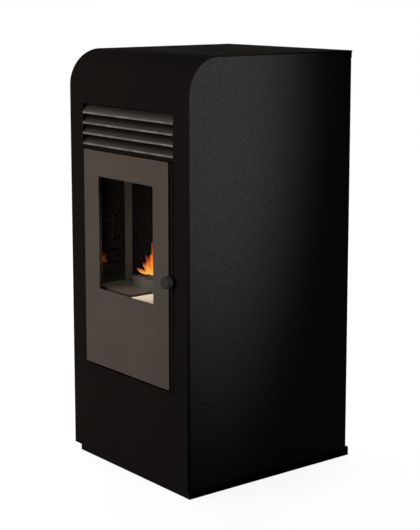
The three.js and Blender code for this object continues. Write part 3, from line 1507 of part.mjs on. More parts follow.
function buildSmokePath(stove) {
  const smoke = new THREE.Group();
  piece(smoke, 'smoke_duct', buildSmokeDuct(), 'castIron');
  piece(smoke, 'exhaust_housing', buildExhaustHousing(), 'zinc');
  const impeller = piece(smoke, 'exhaust_impeller', buildImpeller(), 'steel');
  impeller.position.set(exhaustX, impellerBack, EXHAUST_Z);
  piece(smoke, 'exhaust_motor', buildExhaustMotor(), 'zinc');
  const flue = buildPipe(0, EXHAUST_Z, FLUE_RADIUS, FLUE_WALL, flueFront, flueRear);
  piece(smoke, 'flue_pipe', flue, 'satinBlack');
  const intakeRear = CASE_DEPTH + INTAKE_REACH;
  const intake = buildPipe(intakeX, INTAKE_Z, INTAKE_RADIUS, INTAKE_WALL, ductFront, intakeRear);
  piece(smoke, 'air_intake_pipe', intake, 'zinc');
  stove.add(smoke);
}

function buildRoomFan(stove) {
  const fan = new THREE.Group();
  fan.position.set(roomFanX, ROOM_FAN_Y, ROOM_FAN_Z);
  piece(fan, 'room_fan_housing', buildRoomFanHousing(), 'zinc');
  piece(fan, 'room_fan_rotor', buildRoomFanRotor(), 'steel');
  piece(fan, 'room_fan_motor', buildRoomFanMotor(), 'zinc');
  stove.add(fan);
}

function buildControls(stove) {
  const controls = new THREE.Group();
  piece(controls, 'control_panel', buildControlPanel(), 'blackPlastic');
  buttonNames.forEach((name, index) => {
    const button = piece(controls, name, buildButton(), 'blackPlastic');
    button.position.set(buttonX(index), panelMiddle, CASE_HEIGHT);
  });
  piece(controls, 'power_inlet', buildPowerInlet(), 'blackPlastic');
  const rocker = piece(controls, 'power_switch', buildRocker(), 'blackPlastic');
  rocker.position.set(switchX, switchY, inletMiddleZ);
  rocker.rotation.x = SWITCH_TILT;
  stove.add(controls);
}

const stove = new THREE.Group();
buildBase(stove);
buildCasing(stove);
buildDoor(stove);
buildFireboxGroup(stove);
buildPelletFeed(stove);
buildSmokePath(stove);
buildRoomFan(stove);
buildControls(stove);
stove.position.y = -(knobFront + flueRear) / 2;

export default stove;
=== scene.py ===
"""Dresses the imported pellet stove: rounded sheet metal, finishes, fire, fittings and a stage."""

import json
import math

import bmesh
import bpy
import numpy as np
from bpy.props import FloatProperty, FloatVectorProperty, IntProperty, PointerProperty
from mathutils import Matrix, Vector


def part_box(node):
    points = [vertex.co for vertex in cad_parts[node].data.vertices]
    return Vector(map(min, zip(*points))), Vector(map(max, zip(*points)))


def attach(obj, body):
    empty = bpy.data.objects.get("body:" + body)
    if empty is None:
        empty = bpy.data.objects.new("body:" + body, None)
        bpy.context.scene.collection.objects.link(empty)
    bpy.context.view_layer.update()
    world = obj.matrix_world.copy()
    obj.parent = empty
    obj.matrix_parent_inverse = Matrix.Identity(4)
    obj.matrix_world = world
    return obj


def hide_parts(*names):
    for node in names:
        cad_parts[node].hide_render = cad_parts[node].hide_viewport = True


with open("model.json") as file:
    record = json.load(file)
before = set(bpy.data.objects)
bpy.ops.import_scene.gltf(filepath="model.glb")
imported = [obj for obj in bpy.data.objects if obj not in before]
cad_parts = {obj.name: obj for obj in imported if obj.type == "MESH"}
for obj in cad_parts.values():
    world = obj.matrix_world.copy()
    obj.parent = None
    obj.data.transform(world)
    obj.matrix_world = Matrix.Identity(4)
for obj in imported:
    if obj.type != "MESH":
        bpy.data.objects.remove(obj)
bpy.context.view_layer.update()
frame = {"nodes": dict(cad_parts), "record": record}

bl_info = {
    "name": "Pellet Stove",
    "version": (1, 0, 0),
    "blender": (4, 5, 0),
    "location": "3D View > Sidebar > Stove",
    "description": "Builds a pellet stove's visible pieces, finishes and stage on its CAD frame",
    "category": "Object",
}

MM = 0.001
WELD = 0.002 * MM  # corners nearer than this are one corner
SHARP_ANGLE = math.radians(32)  # edges that turn more than this stay sharp
FLAT_ANGLE = math.radians(0.5)  # faces that turn less than this are one face
LARGEST_CUT = 0.49  # share of a leg that a rounded corner may take
SEED = 7

SLOT_OF_NODE = {part["node"]: part["material_slot"] for part in frame["record"]["subparts"]}
BODY_OF_NODE = {
    node: body
    for body, nodes in frame["record"]["behaviour"]["bodies"].items()
    for node in nodes
}
# Fin finishes: enamel with painted shade on each face, and a paler lip finish that is a painted
# highlight.
LOWER_FIN_SHADED_LOOKS = ("lower_fin_painted_shade", "fin_lip_painted_highlight")
LOOKS_OF_NODE = {  # finishes of the nodes that don't just take their slot's
    "louvre_fin_1": ("top_fin_painted_shade", "fin_lip_painted_highlight"),
    "louvre_fin_2": LOWER_FIN_SHADED_LOOKS,
    "louvre_fin_3": LOWER_FIN_SHADED_LOOKS,
    "louvre_fin_4": LOWER_FIN_SHADED_LOOKS,
    "door_knob": ("knob_plastic",),
    "hinge_pin_top": ("cast_iron",),
    "hinge_pin_bottom": ("cast_iron",),
    "lining_back": ("dull_lining",),
    "hopper": ("galvanised_steel", "foot_rubber"),  # the second is the seal on its rim
}


# ---------------------------------------------------------------- sizes and colours


def length(name, description, millimetres):
    return FloatProperty(name=name, description=description, default=millimetres * MM,
                         min=0.0, unit="LENGTH", subtype="DISTANCE", precision=5)


def colour(name, description, red, green, blue):
    return FloatVectorProperty(name=name, description=description, default=(red, green, blue),
                               min=0.0, max=1.0, size=3, subtype="COLOR")


class StoveSizes(bpy.types.PropertyGroup):
    """Sizes that the visible pieces add to the CAD frame."""

    sheet: length("Sheet", "Thickness of the casing's steel", 2.0)
    bend_radius: length("Bend radius", "Outer radius of the casing's folds", 2.4)
    front_return: length("Front return", "Width of the cover's edge, folded onto the side", 7.0)
    top_return: length("Top return", "Width of the same edge along the top", 3.0)
    corner_radius: length("Corner radius", "Round between the front and the top", 82.0)
    edge_softness: length("Edge softness", "Radius on cut steel edges", 0.45)
    knob_edge: length("Knob edge", "Radius round the knob's face", 2.2)
    rope_lay: length("Rope lay", "Length in which a strand of the door rope turns once", 26.0)
    flame_height: length("Flame height", "Height of the tallest tongue above the burn pot", 205.0)
    pellet_radius: length("Pellet radius", "Radius of a wood pellet", 3.0)
    pellet_count: IntProperty(name="Pellets", description="Glowing pellets in the burn pot",
                              default=90, min=0, max=400)
    screw_radius: length("Screw head", "Radius of a panel screw's head", 4.6)


class StoveColours(bpy.types.PropertyGroup):
    """Colours of the finishes, as linear red, green and blue."""

    cover: colour("Cover", "Satin brownish black of the front and top", 0.0096, 0.0080, 0.0071)
    side: colour("Side panels", "Fine-textured black of the sides and back", 0.0330, 0.0315, 0.0320)
    enamel: colour("Enamel", "Taupe of the door plate and the louvre fins", 0.0600, 0.0468, 0.0372)
    # painted highlight: the lip's pale colour stands for the light its rounded edge catches
    lip: colour("Fin lip", "Pale front edge of each fin", 0.1350, 0.1210, 0.1040)
    hearth: colour("Hearth", "Grey of the hearth plate and corner strips", 0.0680, 0.0600, 0.0540)
    tile: colour("Tile", "Pale inlay in the hearth", 0.8200, 0.7850, 0.7200)
    lining: colour("Lining", "Glossy black of the chamber's linings", 0.0012, 0.0007, 0.0005)
    iron: colour("Iron", "Dark iron of the firebox and burn pot", 0.0200, 0.0185, 0.0175)
    plastic: colour("Plastic", "Black of the controls and the mains inlet", 0.0150, 0.0145, 0.0142)
    knob: colour("Knob", "Warm dark grey of the door's knob", 0.0340, 0.0310, 0.0270)
    rope: colour("Rope", "Grey braided glass fibre", 0.1150, 0.1060, 0.0900)


# ---------------------------------------------------------------- surfaces


class Surface:
    """Points on a grid, its four-sided faces, and where their corners lie on it from 0 to 1."""

    def __init__(self, points, wrap_rows=False, wrap_columns=False, keep=None, finish=0):
        rows, columns = points.shape[:2]
        last_row = rows if wrap_rows else rows - 1
        last_column = columns if wrap_columns else columns - 1
        row, column = np.meshgrid(np.arange(last_row), np.arange(last_column), indexing="ij")
        corner_rows = np.stack([row, row + 1, row + 1, row], axis=-1)
        corner_columns = np.stack([column, column, column + 1, column + 1], axis=-1)
        if keep is not None:
            corner_rows, corner_columns = corner_rows[keep], corner_columns[keep]
        self.points = points.reshape(-1, 3)
        faces = (corner_rows % rows) * columns + corner_columns % columns
        self.faces = faces.reshape(-1, 4)
        places = np.stack([corner_columns / last_column, corner_rows / last_row], axis=-1)
        self.places = places.reshape(-1, 4, 2)
        self.finish = np.full(len(self.faces), finish)


def mesh_from(name, surfaces, closed=True):
    """One mesh out of surfaces: corners are welded, and a closed shell's faces turned outwards."""
    starts = np.cumsum([0] + [len(surface.points) for surface in surfaces[:-1]])
    points = np.concatenate([surface.points for surface in surfaces])
    faces = np.concatenate([surface.faces + start for surface, start in zip(surfaces, starts)])
    mesh = bpy.data.meshes.new(name)
    mesh.from_pydata(points.tolist(), [], faces.tolist())
    mesh.polygons.foreach_set("material_index", np.concatenate([s.finish for s in surfaces]))
    layer = mesh.uv_layers.new(name="UVMap")
    layer.data.foreach_set("uv", np.concatenate([s.places for s in surfaces]).ravel())
    work = bmesh.new()
    work.from_mesh(mesh)
    bmesh.ops.remove_doubles(work, verts=work.verts, dist=WELD)
    bmesh.ops.dissolve_degenerate(work, edges=work.edges, dist=WELD)
    if closed:
        bmesh.ops.recalc_face_normals(work, faces=work.faces)
    work.to_mesh(mesh)
    work.free()
    mesh.shade_smooth()
    mesh.set_sharp_from_angle(angle=SHARP_ANGLE)
    return mesh


def span(start, end, count):
    """Evenly spaced places from start to end."""
    return np.linspace(start, end, count)


def around(sides):
    """Evenly spaced angles round a circle."""
    return span(0, 2 * math.pi, sides + 1)[:-1]


def grid(*coordinates):
    """Coordinates brought to one shape and joined into points."""
    return np.stack(np.broadcast_arrays(*coordinates), axis=-1)


def halfway(low, high):
    """The middle of a box, from its lowest and highest corners."""
    return (np.array(low) + np.array(high)) / 2


def lathe(profile, centre, axis, sides=64):
    """A profile turned round an axis.

    Radius r at height h gives centre + h axis + r (cos a, sin a) across it.
    """
    radius, height = np.array(profile, float).T
    axis = np.array(axis, float)
    across = np.roll(axis, 1)
    other = np.cross(axis, across)
    angle = around(sides)
    ring = np.outer(np.cos(angle), across) + np.outer(np.sin(angle), other)
    points = np.array(centre) + radius[:, None, None] * ring + height[:, None, None] * axis
    return Surface(points, wrap_columns=True)


def rounded(corners, radius, steps=4):
    """A profile whose inner corners are arcs: each is a quadratic curve from leg to leg."""
    corners = np.array(corners, float)
    before, corner, after = corners[:-2], corners[1:-1], corners[2:]
    to_before, to_after = before - corner, after - corner
    reach_before = np.linalg.norm(to_before, axis=1)
    reach_after = np.linalg.norm(to_after, axis=1)
    cut = np.minimum(radius, np.minimum(reach_before, reach_after) * LARGEST_CUT)[:, None]
    start = corner + to_before / reach_before[:, None] * cut
    end = corner + to_after / reach_after[:, None] * cut
    t = span(0, 1, steps + 1)[None, :, None]
    arcs = (1 - t) ** 2 * start[:, None] + 2 * t * (1 - t) * corner[:, None] + t**2 * end[:, None]
    return np.concatenate([corners[:1], arcs.reshape(-1, 2), corners[-1:]])


def rounded_rectangle(half_width, half_height, radius, corner_steps=8):
    """Points round a rectangle with round corners, from its right side on, anticlockwise."""
    angle = span(0, math.pi / 2, corner_steps + 1)
    arc = grid(np.cos(angle), np.sin(angle)) * radius
    quarter_turns = [np.array([[c, s], [-s, c]]) for c, s in ((1, 0), (0, 1), (-1, 0), (0, -1))]
    signs = np.array([[1, 1], [-1, 1], [-1, -1], [1, -1]])
    middles = signs * (half_width - radius, half_height - radius)
    return np.concatenate([arc @ turn + middle for turn, middle in zip(quarter_turns, middles)])


def slab(outline, origin, thickness, soft=0.0):
    """A flat plate that lies level: its outline at two heights, the upper rim drawn in by soft."""
    middle = outline.mean(axis=0)
    point = np.repeat(middle[None], len(outline), axis=0)
    inner = middle + (outline - middle) * (1 - soft / np.abs(outline - middle).max())
    flat = np.stack([point, outline, outline, inner, point])
    rise = np.array([0.0, 0.0, thickness - soft, thickness, thickness])[:, None]
    return Surface(np.array(origin) + grid(flat[..., 0], flat[..., 1], rise), wrap_columns=True)


# ---------------------------------------------------------------- pieces


def place(name, data):
    """A new object in the scene."""
    thing = bpy.data.objects.new(name, data)
    bpy.context.scene.collection.objects.link(thing)
    return thing


def looks_of(node):
    """The names of a CAD node's finishes: its slot's, or its own where they differ."""
    return LOOKS_OF_NODE.get(node, (SLOT_OF_NODE[node],))


def show(name, mesh, looks, body, stands_for=()):
    """Puts a piece into the scene with its finishes, body, slot and the nodes it stands for."""
    piece = place(name, mesh)
    mesh.materials.clear()
    for look in looks:
        mesh.materials.append(finishes[look])
    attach(piece, body)
    if stands_for:
        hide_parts(*stands_for)
    return piece


def dress(node, mesh):
    """Shows a mesh in a CAD node's place, on its body and in its finishes."""
    return show(node + "_dressed", mesh, looks_of(node), BODY_OF_NODE[node], (node,))


def settle(piece):
    """Makes a piece's modifiers part of its mesh."""
    graph = bpy.context.evaluated_depsgraph_get()
    settled = bpy.data.meshes.new_from_object(piece.evaluated_get(graph), depsgraph=graph)
    plain = piece.data
    piece.modifiers.clear()
    piece.data = settled
    bpy.data.meshes.remove(plain)


def add_bevel(piece, radius, segments=2):
    bevel = piece.modifiers.new("Edges", "BEVEL")
    bevel.width = radius
    bevel.segments = segments
    bevel.limit_method = "ANGLE"
    bevel.angle_limit = SHARP_ANGLE
    bevel.harden_normals = True


def add_thickness(piece, thickness):
    wall = piece.modifiers.new("Sheet", "SOLIDIFY")
    wall.thickness = thickness
    wall.offset = -1.0
    wall.use_even_offset = True
    wall.use_quality_normals = True


def bare_copy(node):
    """A CAD node's triangles as a new mesh: corners welded, flat neighbours made one face."""
    source = frame["nodes"][node].data
    points = np.empty(len(source.vertices) * 3)
    source.vertices.foreach_get("co", points)
    source.calc_loop_triangles()
    triangles = np.empty(len(source.loop_triangles) * 3, int)
    source.loop_triangles.foreach_get("vertices", triangles)
    mesh = bpy.data.meshes.new(node + "_dressed")
    mesh.from_pydata(points.reshape(-1, 3).tolist(), [], triangles.reshape(-1, 3).tolist())
    work = bmesh.new()
    work.from_mesh(mesh)
    bmesh.ops.remove_doubles(work, verts=work.verts, dist=WELD)
    bmesh.ops.dissolve_limit(work, angle_limit=FLAT_ANGLE, verts=work.verts, edges=work.edges,
                             delimit={"NORMAL"})
    work.to_mesh(mesh)
    work.free()
    mesh.shade_smooth()
    return mesh


def soften(sizes, factors):
    """Shows CAD nodes with rounded edges, by a factor on the softness, and returns the last."""
    for node, factor in factors.items():
        piece = dress(node, bare_copy(node))
        add_bevel(piece, sizes.edge_softness * factor)
        settle(piece)
    return piece


def finish_beyond(piece, direction, limit):
    """Faces whose middle lies further than limit in a direction take the second finish."""
    faces = piece.data.polygons
    middles = np.empty(len(faces) * 3)
    faces.foreach_get("center", middles)
    reach = middles.reshape(-1, 3) @ np.array(direction, float)
    faces.foreach_set("material_index", (reach > limit).astype(int))


# ---------------------------------------------------------------- shader nodes


class Value:
    """A node's number output that Python arithmetic can use: each operator adds a Math node."""

    def __init__(self, nodes, socket):
        self.nodes = nodes
        self.socket = socket

    def _combine(self, operation, first, second):
        node = self.nodes.node("ShaderNodeMath", {"operation": operation}, {0: first, 1: second})
        return Value(self.nodes, node.outputs[0])

    def __add__(self, other):
        return self._combine("ADD", self, other)

    __radd__ = __add__

    def __sub__(self, other):
        return self._combine("SUBTRACT", self, other)

    def __rsub__(self, other):
        return self._combine("SUBTRACT", other, self)

    def __mul__(self, other):
        return self._combine("MULTIPLY", self, other)

    __rmul__ = __mul__

    def __pow__(self, other):
        return self._combine("POWER", self, other)


class NodeTree:
    """The nodes of a material or world."""

    def __init__(self, owner):
        owner.use_nodes = True
        self.tree = owner.node_tree

    def node(self, kind, settings=None, inputs=None):
        """Adds a node: its settings first, a ramp's stops among them, then its sockets."""
        node = self.tree.nodes.new(kind)
        for name, value in (settings or {}).items():
            if name == "stops":
                self._set_stops(node.color_ramp.elements, value)
            else:
                setattr(node, name, value)
        for key, value in (inputs or {}).items():
            self.feed(self._input(node, key), value)
        return node

    @staticmethod
    def _set_stops(elements, stops):
        while len(elements) < len(stops):
            elements.new(1.0)
        for element, (position, shade) in zip(elements, stops):
            element.position = position
            element.color = (*shade, 1.0)

    @staticmethod
    def _input(node, key):
        if isinstance(key, int):
            return node.inputs[key]
        by_identifier = [socket for socket in node.inputs if socket.identifier == key]
        return by_identifier[0] if by_identifier else node.inputs[key]

    def feed(self, socket, value):
        """Gives a socket a number, a colour, or another node's output."""
        if isinstance(value, Value):
            self.tree.links.new(value.socket, socket)
        elif isinstance(value, bpy.types.NodeSocket):
            self.tree.links.new(value, socket)
        elif socket.type == "RGBA":
            socket.default_value = (*value, 1.0)
        else:
            socket.default_value = value

    def mix(self, first, second, share):
        """A colour that is first where share is 0 and second where it is 1."""
        node = self.node(
            "ShaderNodeMix",
            {"data_type": "RGBA"},
            {"Factor_Float": share, "A_Color": first, "B_Color": second},
        )
        return next(output for output in node.outputs if output.identifier == "Result_Color")

    def ramp(self, value, stops):
        return self.node("ShaderNodeValToRGB", {"stops": stops}, {"Fac": value}).outputs["Color"]

    def between(self, value, low, high, to_low=0.0, to_high=1.0):
        """A smooth step: to_low up to low, to_high from high on."""
        node = self.node(
            "ShaderNodeMapRange",
            {"interpolation_type": "SMOOTHSTEP"},
            {"Value": value, "From Min": low, "From Max": high,
             "To Min": to_low, "To Max": to_high},
        )
        return Value(self, node.outputs["Result"])


class Finish(NodeTree):
    """A material whose patterns are laid in the piece's own coordinates, in metres."""

    def __init__(self, name, **constants):
        self.material = bpy.data.materials.new(name)
        super().__init__(self.material)
        self.shader = self.tree.nodes["Principled BSDF"]
        self.place = self.node("ShaderNodeTexCoord").outputs["Object"]
        for socket, value in constants.items():
            self.set(socket.replace("_", " ").title().replace("Ior", "IOR"), value)

    def set(self, socket, value):
        self.feed(self.shader.inputs[socket], value)

    def stretched(self, stretch):
        node = self.node(
            "ShaderNodeVectorMath", {"operation": "MULTIPLY"}, {0: self.place, 1: stretch}
        )
        return node.outputs[0]

    def noise(self, grain, detail=2.0, stretch=None):
        """Noise from 0 to 1 with blotches about grain wide, in metres."""
        where = self.stretched(stretch) if stretch else self.place
        node = self.node(
            "ShaderNodeTexNoise", None, {"Vector": where, "Scale": 1 / grain, "Detail": detail}
        )
        return Value(self, node.outputs["Fac"])

    def cells(self, size):
        """Crystal-like cells, each with one random shade from 0 to 1."""
        node = self.node("ShaderNodeTexVoronoi", None, {"Vector": self.place, "Scale": 1 / size})
        channels = self.node("ShaderNodeSeparateColor", None, {0: node.outputs["Color"]})
        return Value(self, channels.outputs[0])

    def coordinate(self, axis):
        node = self.node("ShaderNodeSeparateXYZ", None, {0: self.place})
        return Value(self, node.outputs[axis])

    def on_piece(self, axis):
        """Where a point lies on its piece's UV map, from 0 to 1."""
        place = self.node("ShaderNodeUVMap", {"uv_map": "UVMap"}).outputs[0]
        return Value(self, self.node("ShaderNodeSeparateXYZ", None, {0: place}).outputs[axis])

    def relief(self, height, depth, over=None):
        """Lets a pattern from 0 to 1 stand out by depth, in metres."""
        inputs = {"Height": height, "Distance": depth, "Strength": 1.0}
        if over is not None:
            inputs["Normal"] = over
        normal = self.node("ShaderNodeBump", None, inputs).outputs["Normal"]
        self.set("Normal", normal)
        return normal

    def patches(self, size, detail, start, end):
        """Noise made into patches: 0 up to start, and 1 from end on."""
        return self.between(self.noise(size, detail), start, end)

    def roughness(self, pattern, first, last, start=0.3, end=0.7):
        """Roughness from first to last while a pattern goes from start to end."""
        self.set("Roughness", self.between(pattern, start, end, first, last))

    def paint(self, colour):
        """Makes a colour the base colour, and keeps it for what comes over it."""
        self.colour = colour
        self.set("Base Color", colour)

    def cover(self, colour, share):
        """Lays another colour over the base colour where share is above 0."""
        self.paint(self.mix(self.colour, colour, share))

    def skin(self, dark_and_pale, pattern, rough, depth=0.0):
        """Colour, roughness and relief that all follow one pattern from 0 to 1."""
        self.paint(self.mix(*dark_and_pale, pattern))
        self.roughness(pattern, *rough)
        if depth:
            self.relief(pattern, depth)


def shade(base, factor):
    """A colour made lighter or darker."""
    return tuple(min(1.0, channel * factor) for channel in base)


def tones(base, dark, pale):
    """A darker and a paler shade of a colour."""
    return shade(base, dark), shade(base, pale)


# ---------------------------------------------------------------- finishes
# Noise and cells take their grain's size first. Pairs of colours are a dark and a pale tone.

STEEL = ((0.36, 0.355, 0.35), (0.52, 0.515, 0.505))
ZINC = ((0.25, 0.26, 0.27), (0.36, 0.372, 0.38))
RUBBER = ((0.010, 0.010, 0.010), (0.075, 0.070, 0.062))  # the second is its dust
DISPLAY = ((0.003, 0.003, 0.0035), (0.006, 0.006, 0.007))
PRINT = ((0.24, 0.24, 0.235), (0.33, 0.33, 0.325))
RUST = (0.052, 0.030, 0.019)
TILE_SPECK = (0.42, 0.37, 0.30)
TILE_STEP_DARKENING = (0.26, 0.22, 0.17)
CHARCOAL = ((0.012, 0.010, 0.009), (0.050, 0.042, 0.036))
CHARCOAL_GLOW = [(0.0, (0.0, 0.0, 0.0)), (0.4, (0.55, 0.045, 0.004)), (1.0, (1.0, 0.36, 0.05))]
FLAME_OUTER = [(0.0, (1.0, 0.60, 0.14)), (0.45, (0.85, 0.22, 0.02)), (0.85, (0.30, 0.02, 0.003))]
FLAME_INNER = [(0.0, (1.0, 0.84, 0.46)), (0.5, (1.0, 0.72, 0.24)), (1.0, (0.95, 0.34, 0.03))]


def satin_cover(colours):
    """Smooth satin paint: soft orange peel, with faint handling marks in its gloss."""
    coat = Finish("satin_cover", specular_ior_level=0.001)
    cloud = coat.noise(160 * MM, 3.0)
    coat.set("Base Color", coat.mix(*tones(colours.cover, 0.92, 1.1), cloud))
    coat.roughness(coat.noise(45 * MM, 3.0), 0.88, 1.0, 0.3, 0.75)
    coat.relief(coat.noise(2.2 * MM, 1.0), 0.012 * MM)
    return coat.material


def textured_black(colours):
    """Powder coat with a fine crinkle: pale tips on a dark ground."""
    coat = Finish("textured_black", specular_ior_level=0.006)
    fine, coarse = coat.noise(1.3 * MM), coat.noise(4 * MM)
    tips = coat.between(fine * 0.65 + coarse * 0.35, 0.42, 0.62)
    coat.set("Base Color", coat.mix(*tones(colours.side, 0.8, 1.35), tips))
    coat.roughness(fine, 0.72, 0.6)
    coat.relief(fine, 0.09 * MM, coat.relief(coarse, 0.06 * MM))
    return coat.material


def flake_paint(name):
    """Enamel with a light orange peel, and the pattern of its fine metal flake."""
    coat = Finish(name, specular_ior_level=0.05)
    coat.relief(coat.noise(1.6 * MM, 1.0), 0.015 * MM)
    return coat, coat.between(coat.cells(0.7 * MM), 0.55, 1.0)


def enamel(name, base, roughness, wear_and_highlight, cloud_size):
    """Enamel paint, paler and darker in clouds: wear on the door plate, painted highlight patches
    on the fin lips.
    """
    coat, flake = flake_paint(name)
    cloud = coat.patches(cloud_size, 3.0, 0.35, 0.65)
    coat.paint(coat.mix(*tones(base, 1 - wear_and_highlight, 1 + wear_and_highlight), cloud))
    coat.cover(shade(base, 1.28), flake * 0.5)
    coat.roughness(flake, roughness + 0.04, roughness - 0.08, 0.0, 1.0)
    return coat.material


def shaded_fin_enamel(name, colours, front_shade_factor, rear_shade_factor):
    """Enamel with painted shade: a share of its colour at a fin's lip, less further in, where the
    fin above casts shade.
    """
    coat, flake = flake_paint(name)
    low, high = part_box("louvre_fin_1")
    # painted shade: darker towards the fin's rear, where the fin above shades it
    painted_shade_inwards = coat.between(coat.coordinate(1), low.y, low.y + (high.y - low.y) * 0.7)
    coat.paint(coat.mix(*tones(colours.enamel, front_shade_factor, front_shade_factor * 1.25), flake * 0.5))
    coat.cover(shade(colours.enamel, rear_shade_factor), painted_shade_inwards)
    coat.roughness(flake, 0.54, 0.46, 0.0, 1.0)
    return coat.material


def bright_steel():
    """Turned steel: fine marks in its gloss, a little darker in patches."""
    steel = Finish("bright_steel", metallic=1.0)
    marks = steel.noise(1.2 * MM, 3.0, (1.0, 0.15, 1.0))
    steel.skin(STEEL, marks, (0.24, 0.4), 0.01 * MM)
    return steel.material


def galvanised_steel():
    """Zinc-coated sheet with its crystal spangle."""
    zinc = Finish("galvanised_steel", metallic=0.9)
    crystal = zinc.cells(6 * MM)
    patches = crystal * 0.7 + zinc.noise(50 * MM, 3.0) * 0.3
    zinc.set("Base Color", zinc.mix(*ZINC, patches))
    zinc.roughness(crystal, 0.34, 0.52, 0.0, 1.0)
    zinc.relief(zinc.noise(3 * MM), 0.012 * MM)
    return zinc.material


def dark_iron(colours):
    """Heat-worn iron: rough skin and a breath of rust."""
    iron = Finish("dark_iron", metallic=0.25, specular_ior_level=0.3)
    grain = iron.noise(1.6 * MM, 4.0)
    iron.skin(tones(colours.iron, 0.8, 1.5), grain, (0.62, 0.86), 0.16 * MM)
    iron.cover(RUST, iron.patches(35 * MM, 4.0, 0.52, 0.72) * 0.35)
    return iron.material


def hearth_grey(colours):
    """Cast hearth surface with a fine sandy skin and a film of ash."""
    plate = Finish("hearth_grey", specular_ior_level=0.12)
    sand = plate.noise(1.4 * MM, 3.0)
    plate.skin(tones(colours.hearth, 0.86, 1.12), sand, (0.6, 0.8), 0.1 * MM)
    plate.cover(shade(colours.hearth, 1.7), plate.patches(28 * MM, 5.0, 0.45, 0.75) * 0.4)
    return plate.material


def chamber_lining(name, colours, gloss, roughness):
    """Black lining plate, dulled by soot in clouds."""
    lining = Finish(name, specular_ior_level=gloss)
    soot = lining.patches(50 * MM, 4.0, 0.4, 0.7)
    lining.set("Base Color", lining.mix(*tones(colours.lining, 1.0, 2.0), soot))
    lining.roughness(soot, roughness, roughness * 1.9, 0.0, 1.0)
    lining.relief(lining.noise(12 * MM), 0.02 * MM)
    return lining.material


def pale_tile(colours):
    """Matt fired tile: fine grit, small dark specks, darker in patches along its edge at the step.
    """
    tile = Finish("pale_tile", specular_ior_level=0.2)
    grit = tile.noise(1.6 * MM, 3.0)
    tile.skin(tones(colours.tile, 0.94, 1.03), grit, (0.7, 0.85), 0.05 * MM)
    tile.cover(TILE_SPECK, tile.patches(3.2 * MM, 2.0, 0.68, 0.76) * 0.4)
    step_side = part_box("hearth_tile")[1].y
    near_step = tile.between(tile.coordinate(1), step_side - 12 * MM, step_side)
    # darker in patches towards the tile's edge at the step
    tile.cover(TILE_STEP_DARKENING, near_step * tile.patches(12 * MM, 4.0, 0.4, 0.7) * 0.6)
    return tile.material


def window_glass():
    """Clear ceramic glass with a faint film that shows only in its gloss."""
    glass = Finish("window_glass", specular_ior_level=0.5, alpha=0.02)
    glass.set("Base Color", (0.010, 0.008, 0.006))
    glass.roughness(glass.noise(60 * MM, 3.0), 0.03, 0.10, 0.35, 0.75)
    return glass.material


def braided_rope(colours):
    """Glass-fibre yarn: fine fibres, with stains in patches."""
    rope = Finish("braided_rope", specular_ior_level=0.1)
    fibre = rope.noise(0.7 * MM, 3.0)
    rope.skin(tones(colours.rope, 0.55, 1.35), fibre, (0.85, 0.98), 0.2 * MM)
    rope.cover(shade(colours.rope, 0.4), rope.patches(30 * MM, 3.0, 0.4, 0.75) * 0.5)
    return rope.material


def grained_plastic(name, base, roughness, gloss):
    """Moulded plastic with a fine spark-eroded grain."""
    plastic = Finish(name, specular_ior_level=gloss)
    rough = (roughness - 0.05, roughness + 0.08)
    plastic.skin(tones(base, 0.9, 1.15), plastic.noise(0.6 * MM), rough, 0.02 * MM)
    return plastic.material


def foot_rubber():
    """Matt moulded rubber, dusty low down."""
    rubber = Finish("foot_rubber", specular_ior_level=0.2)
    grain = rubber.noise(0.9 * MM)
    low_down = rubber.between(rubber.coordinate(2), 0.0, 6 * MM, 1.0, 0.0)
    dust = low_down * rubber.noise(4 * MM, 3.0)
    rubber.set("Base Color", rubber.mix(*RUBBER, dust * 0.5))
    rubber.roughness(grain, 0.82, 0.94)
    rubber.relief(grain, 0.05 * MM)
    return rubber.material


def flame_glow(name, stops, strength, cover, tatter):
    """Fire: colour runs up the tongue, which fades in at its foot and is torn by tatter."""
    glow = Finish(name, emission_strength=strength, roughness=1.0, specular_ior_level=0.0)
    up = glow.on_piece(1)
    curl = glow.noise(6 * MM, 5.0, (1.0, 1.0, 0.6))
    glow.set("Base Color", (0.0, 0.0, 0.0))
    glow.set("Emission Color", glow.ramp(up + curl * 0.5 - 0.25, stops))
    foot = glow.between(up, 0.0, 0.1)
    body = glow.between(curl - up * tatter, 0.27, 0.36)
    glow.set("Alpha", foot * body * cover)
    return glow.material


def ember():
    """Burning pellets: charcoal that glows in patches, brighter low in the pot."""
    coal = Finish("ember", emission_strength=2.2, specular_ior_level=0.1)
    crust = coal.noise(4 * MM, 3.0)
    low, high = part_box("burn_pot")
    depth = coal.between(coal.coordinate(2), low.z, high.z, 1.0, 0.35)
    heat = coal.between(crust, 0.42, 0.6) * depth
    coal.set("Emission Color", coal.ramp(heat, CHARCOAL_GLOW))
    coal.skin(CHARCOAL, crust, (0.8, 0.95), 0.3 * MM)
    return coal.material


def display_window():
    """Near-black plastic over the display, with no gloss that shows from low down."""
    window = Finish("display_window", specular_ior_level=0.002)
    smear = window.noise(20 * MM, 3.0)
    window.set("Base Color", window.mix(*DISPLAY, smear))
    window.roughness(smear, 0.7, 0.8, 0.3, 0.75)
    return window.material


def printed_mark():
    """Grey print on a button."""
    ink = Finish("printed_mark", specular_ior_level=0.01)
    ink.skin(PRINT, ink.noise(0.5 * MM), (0.5, 0.65))
    return ink.material


finishes = {}


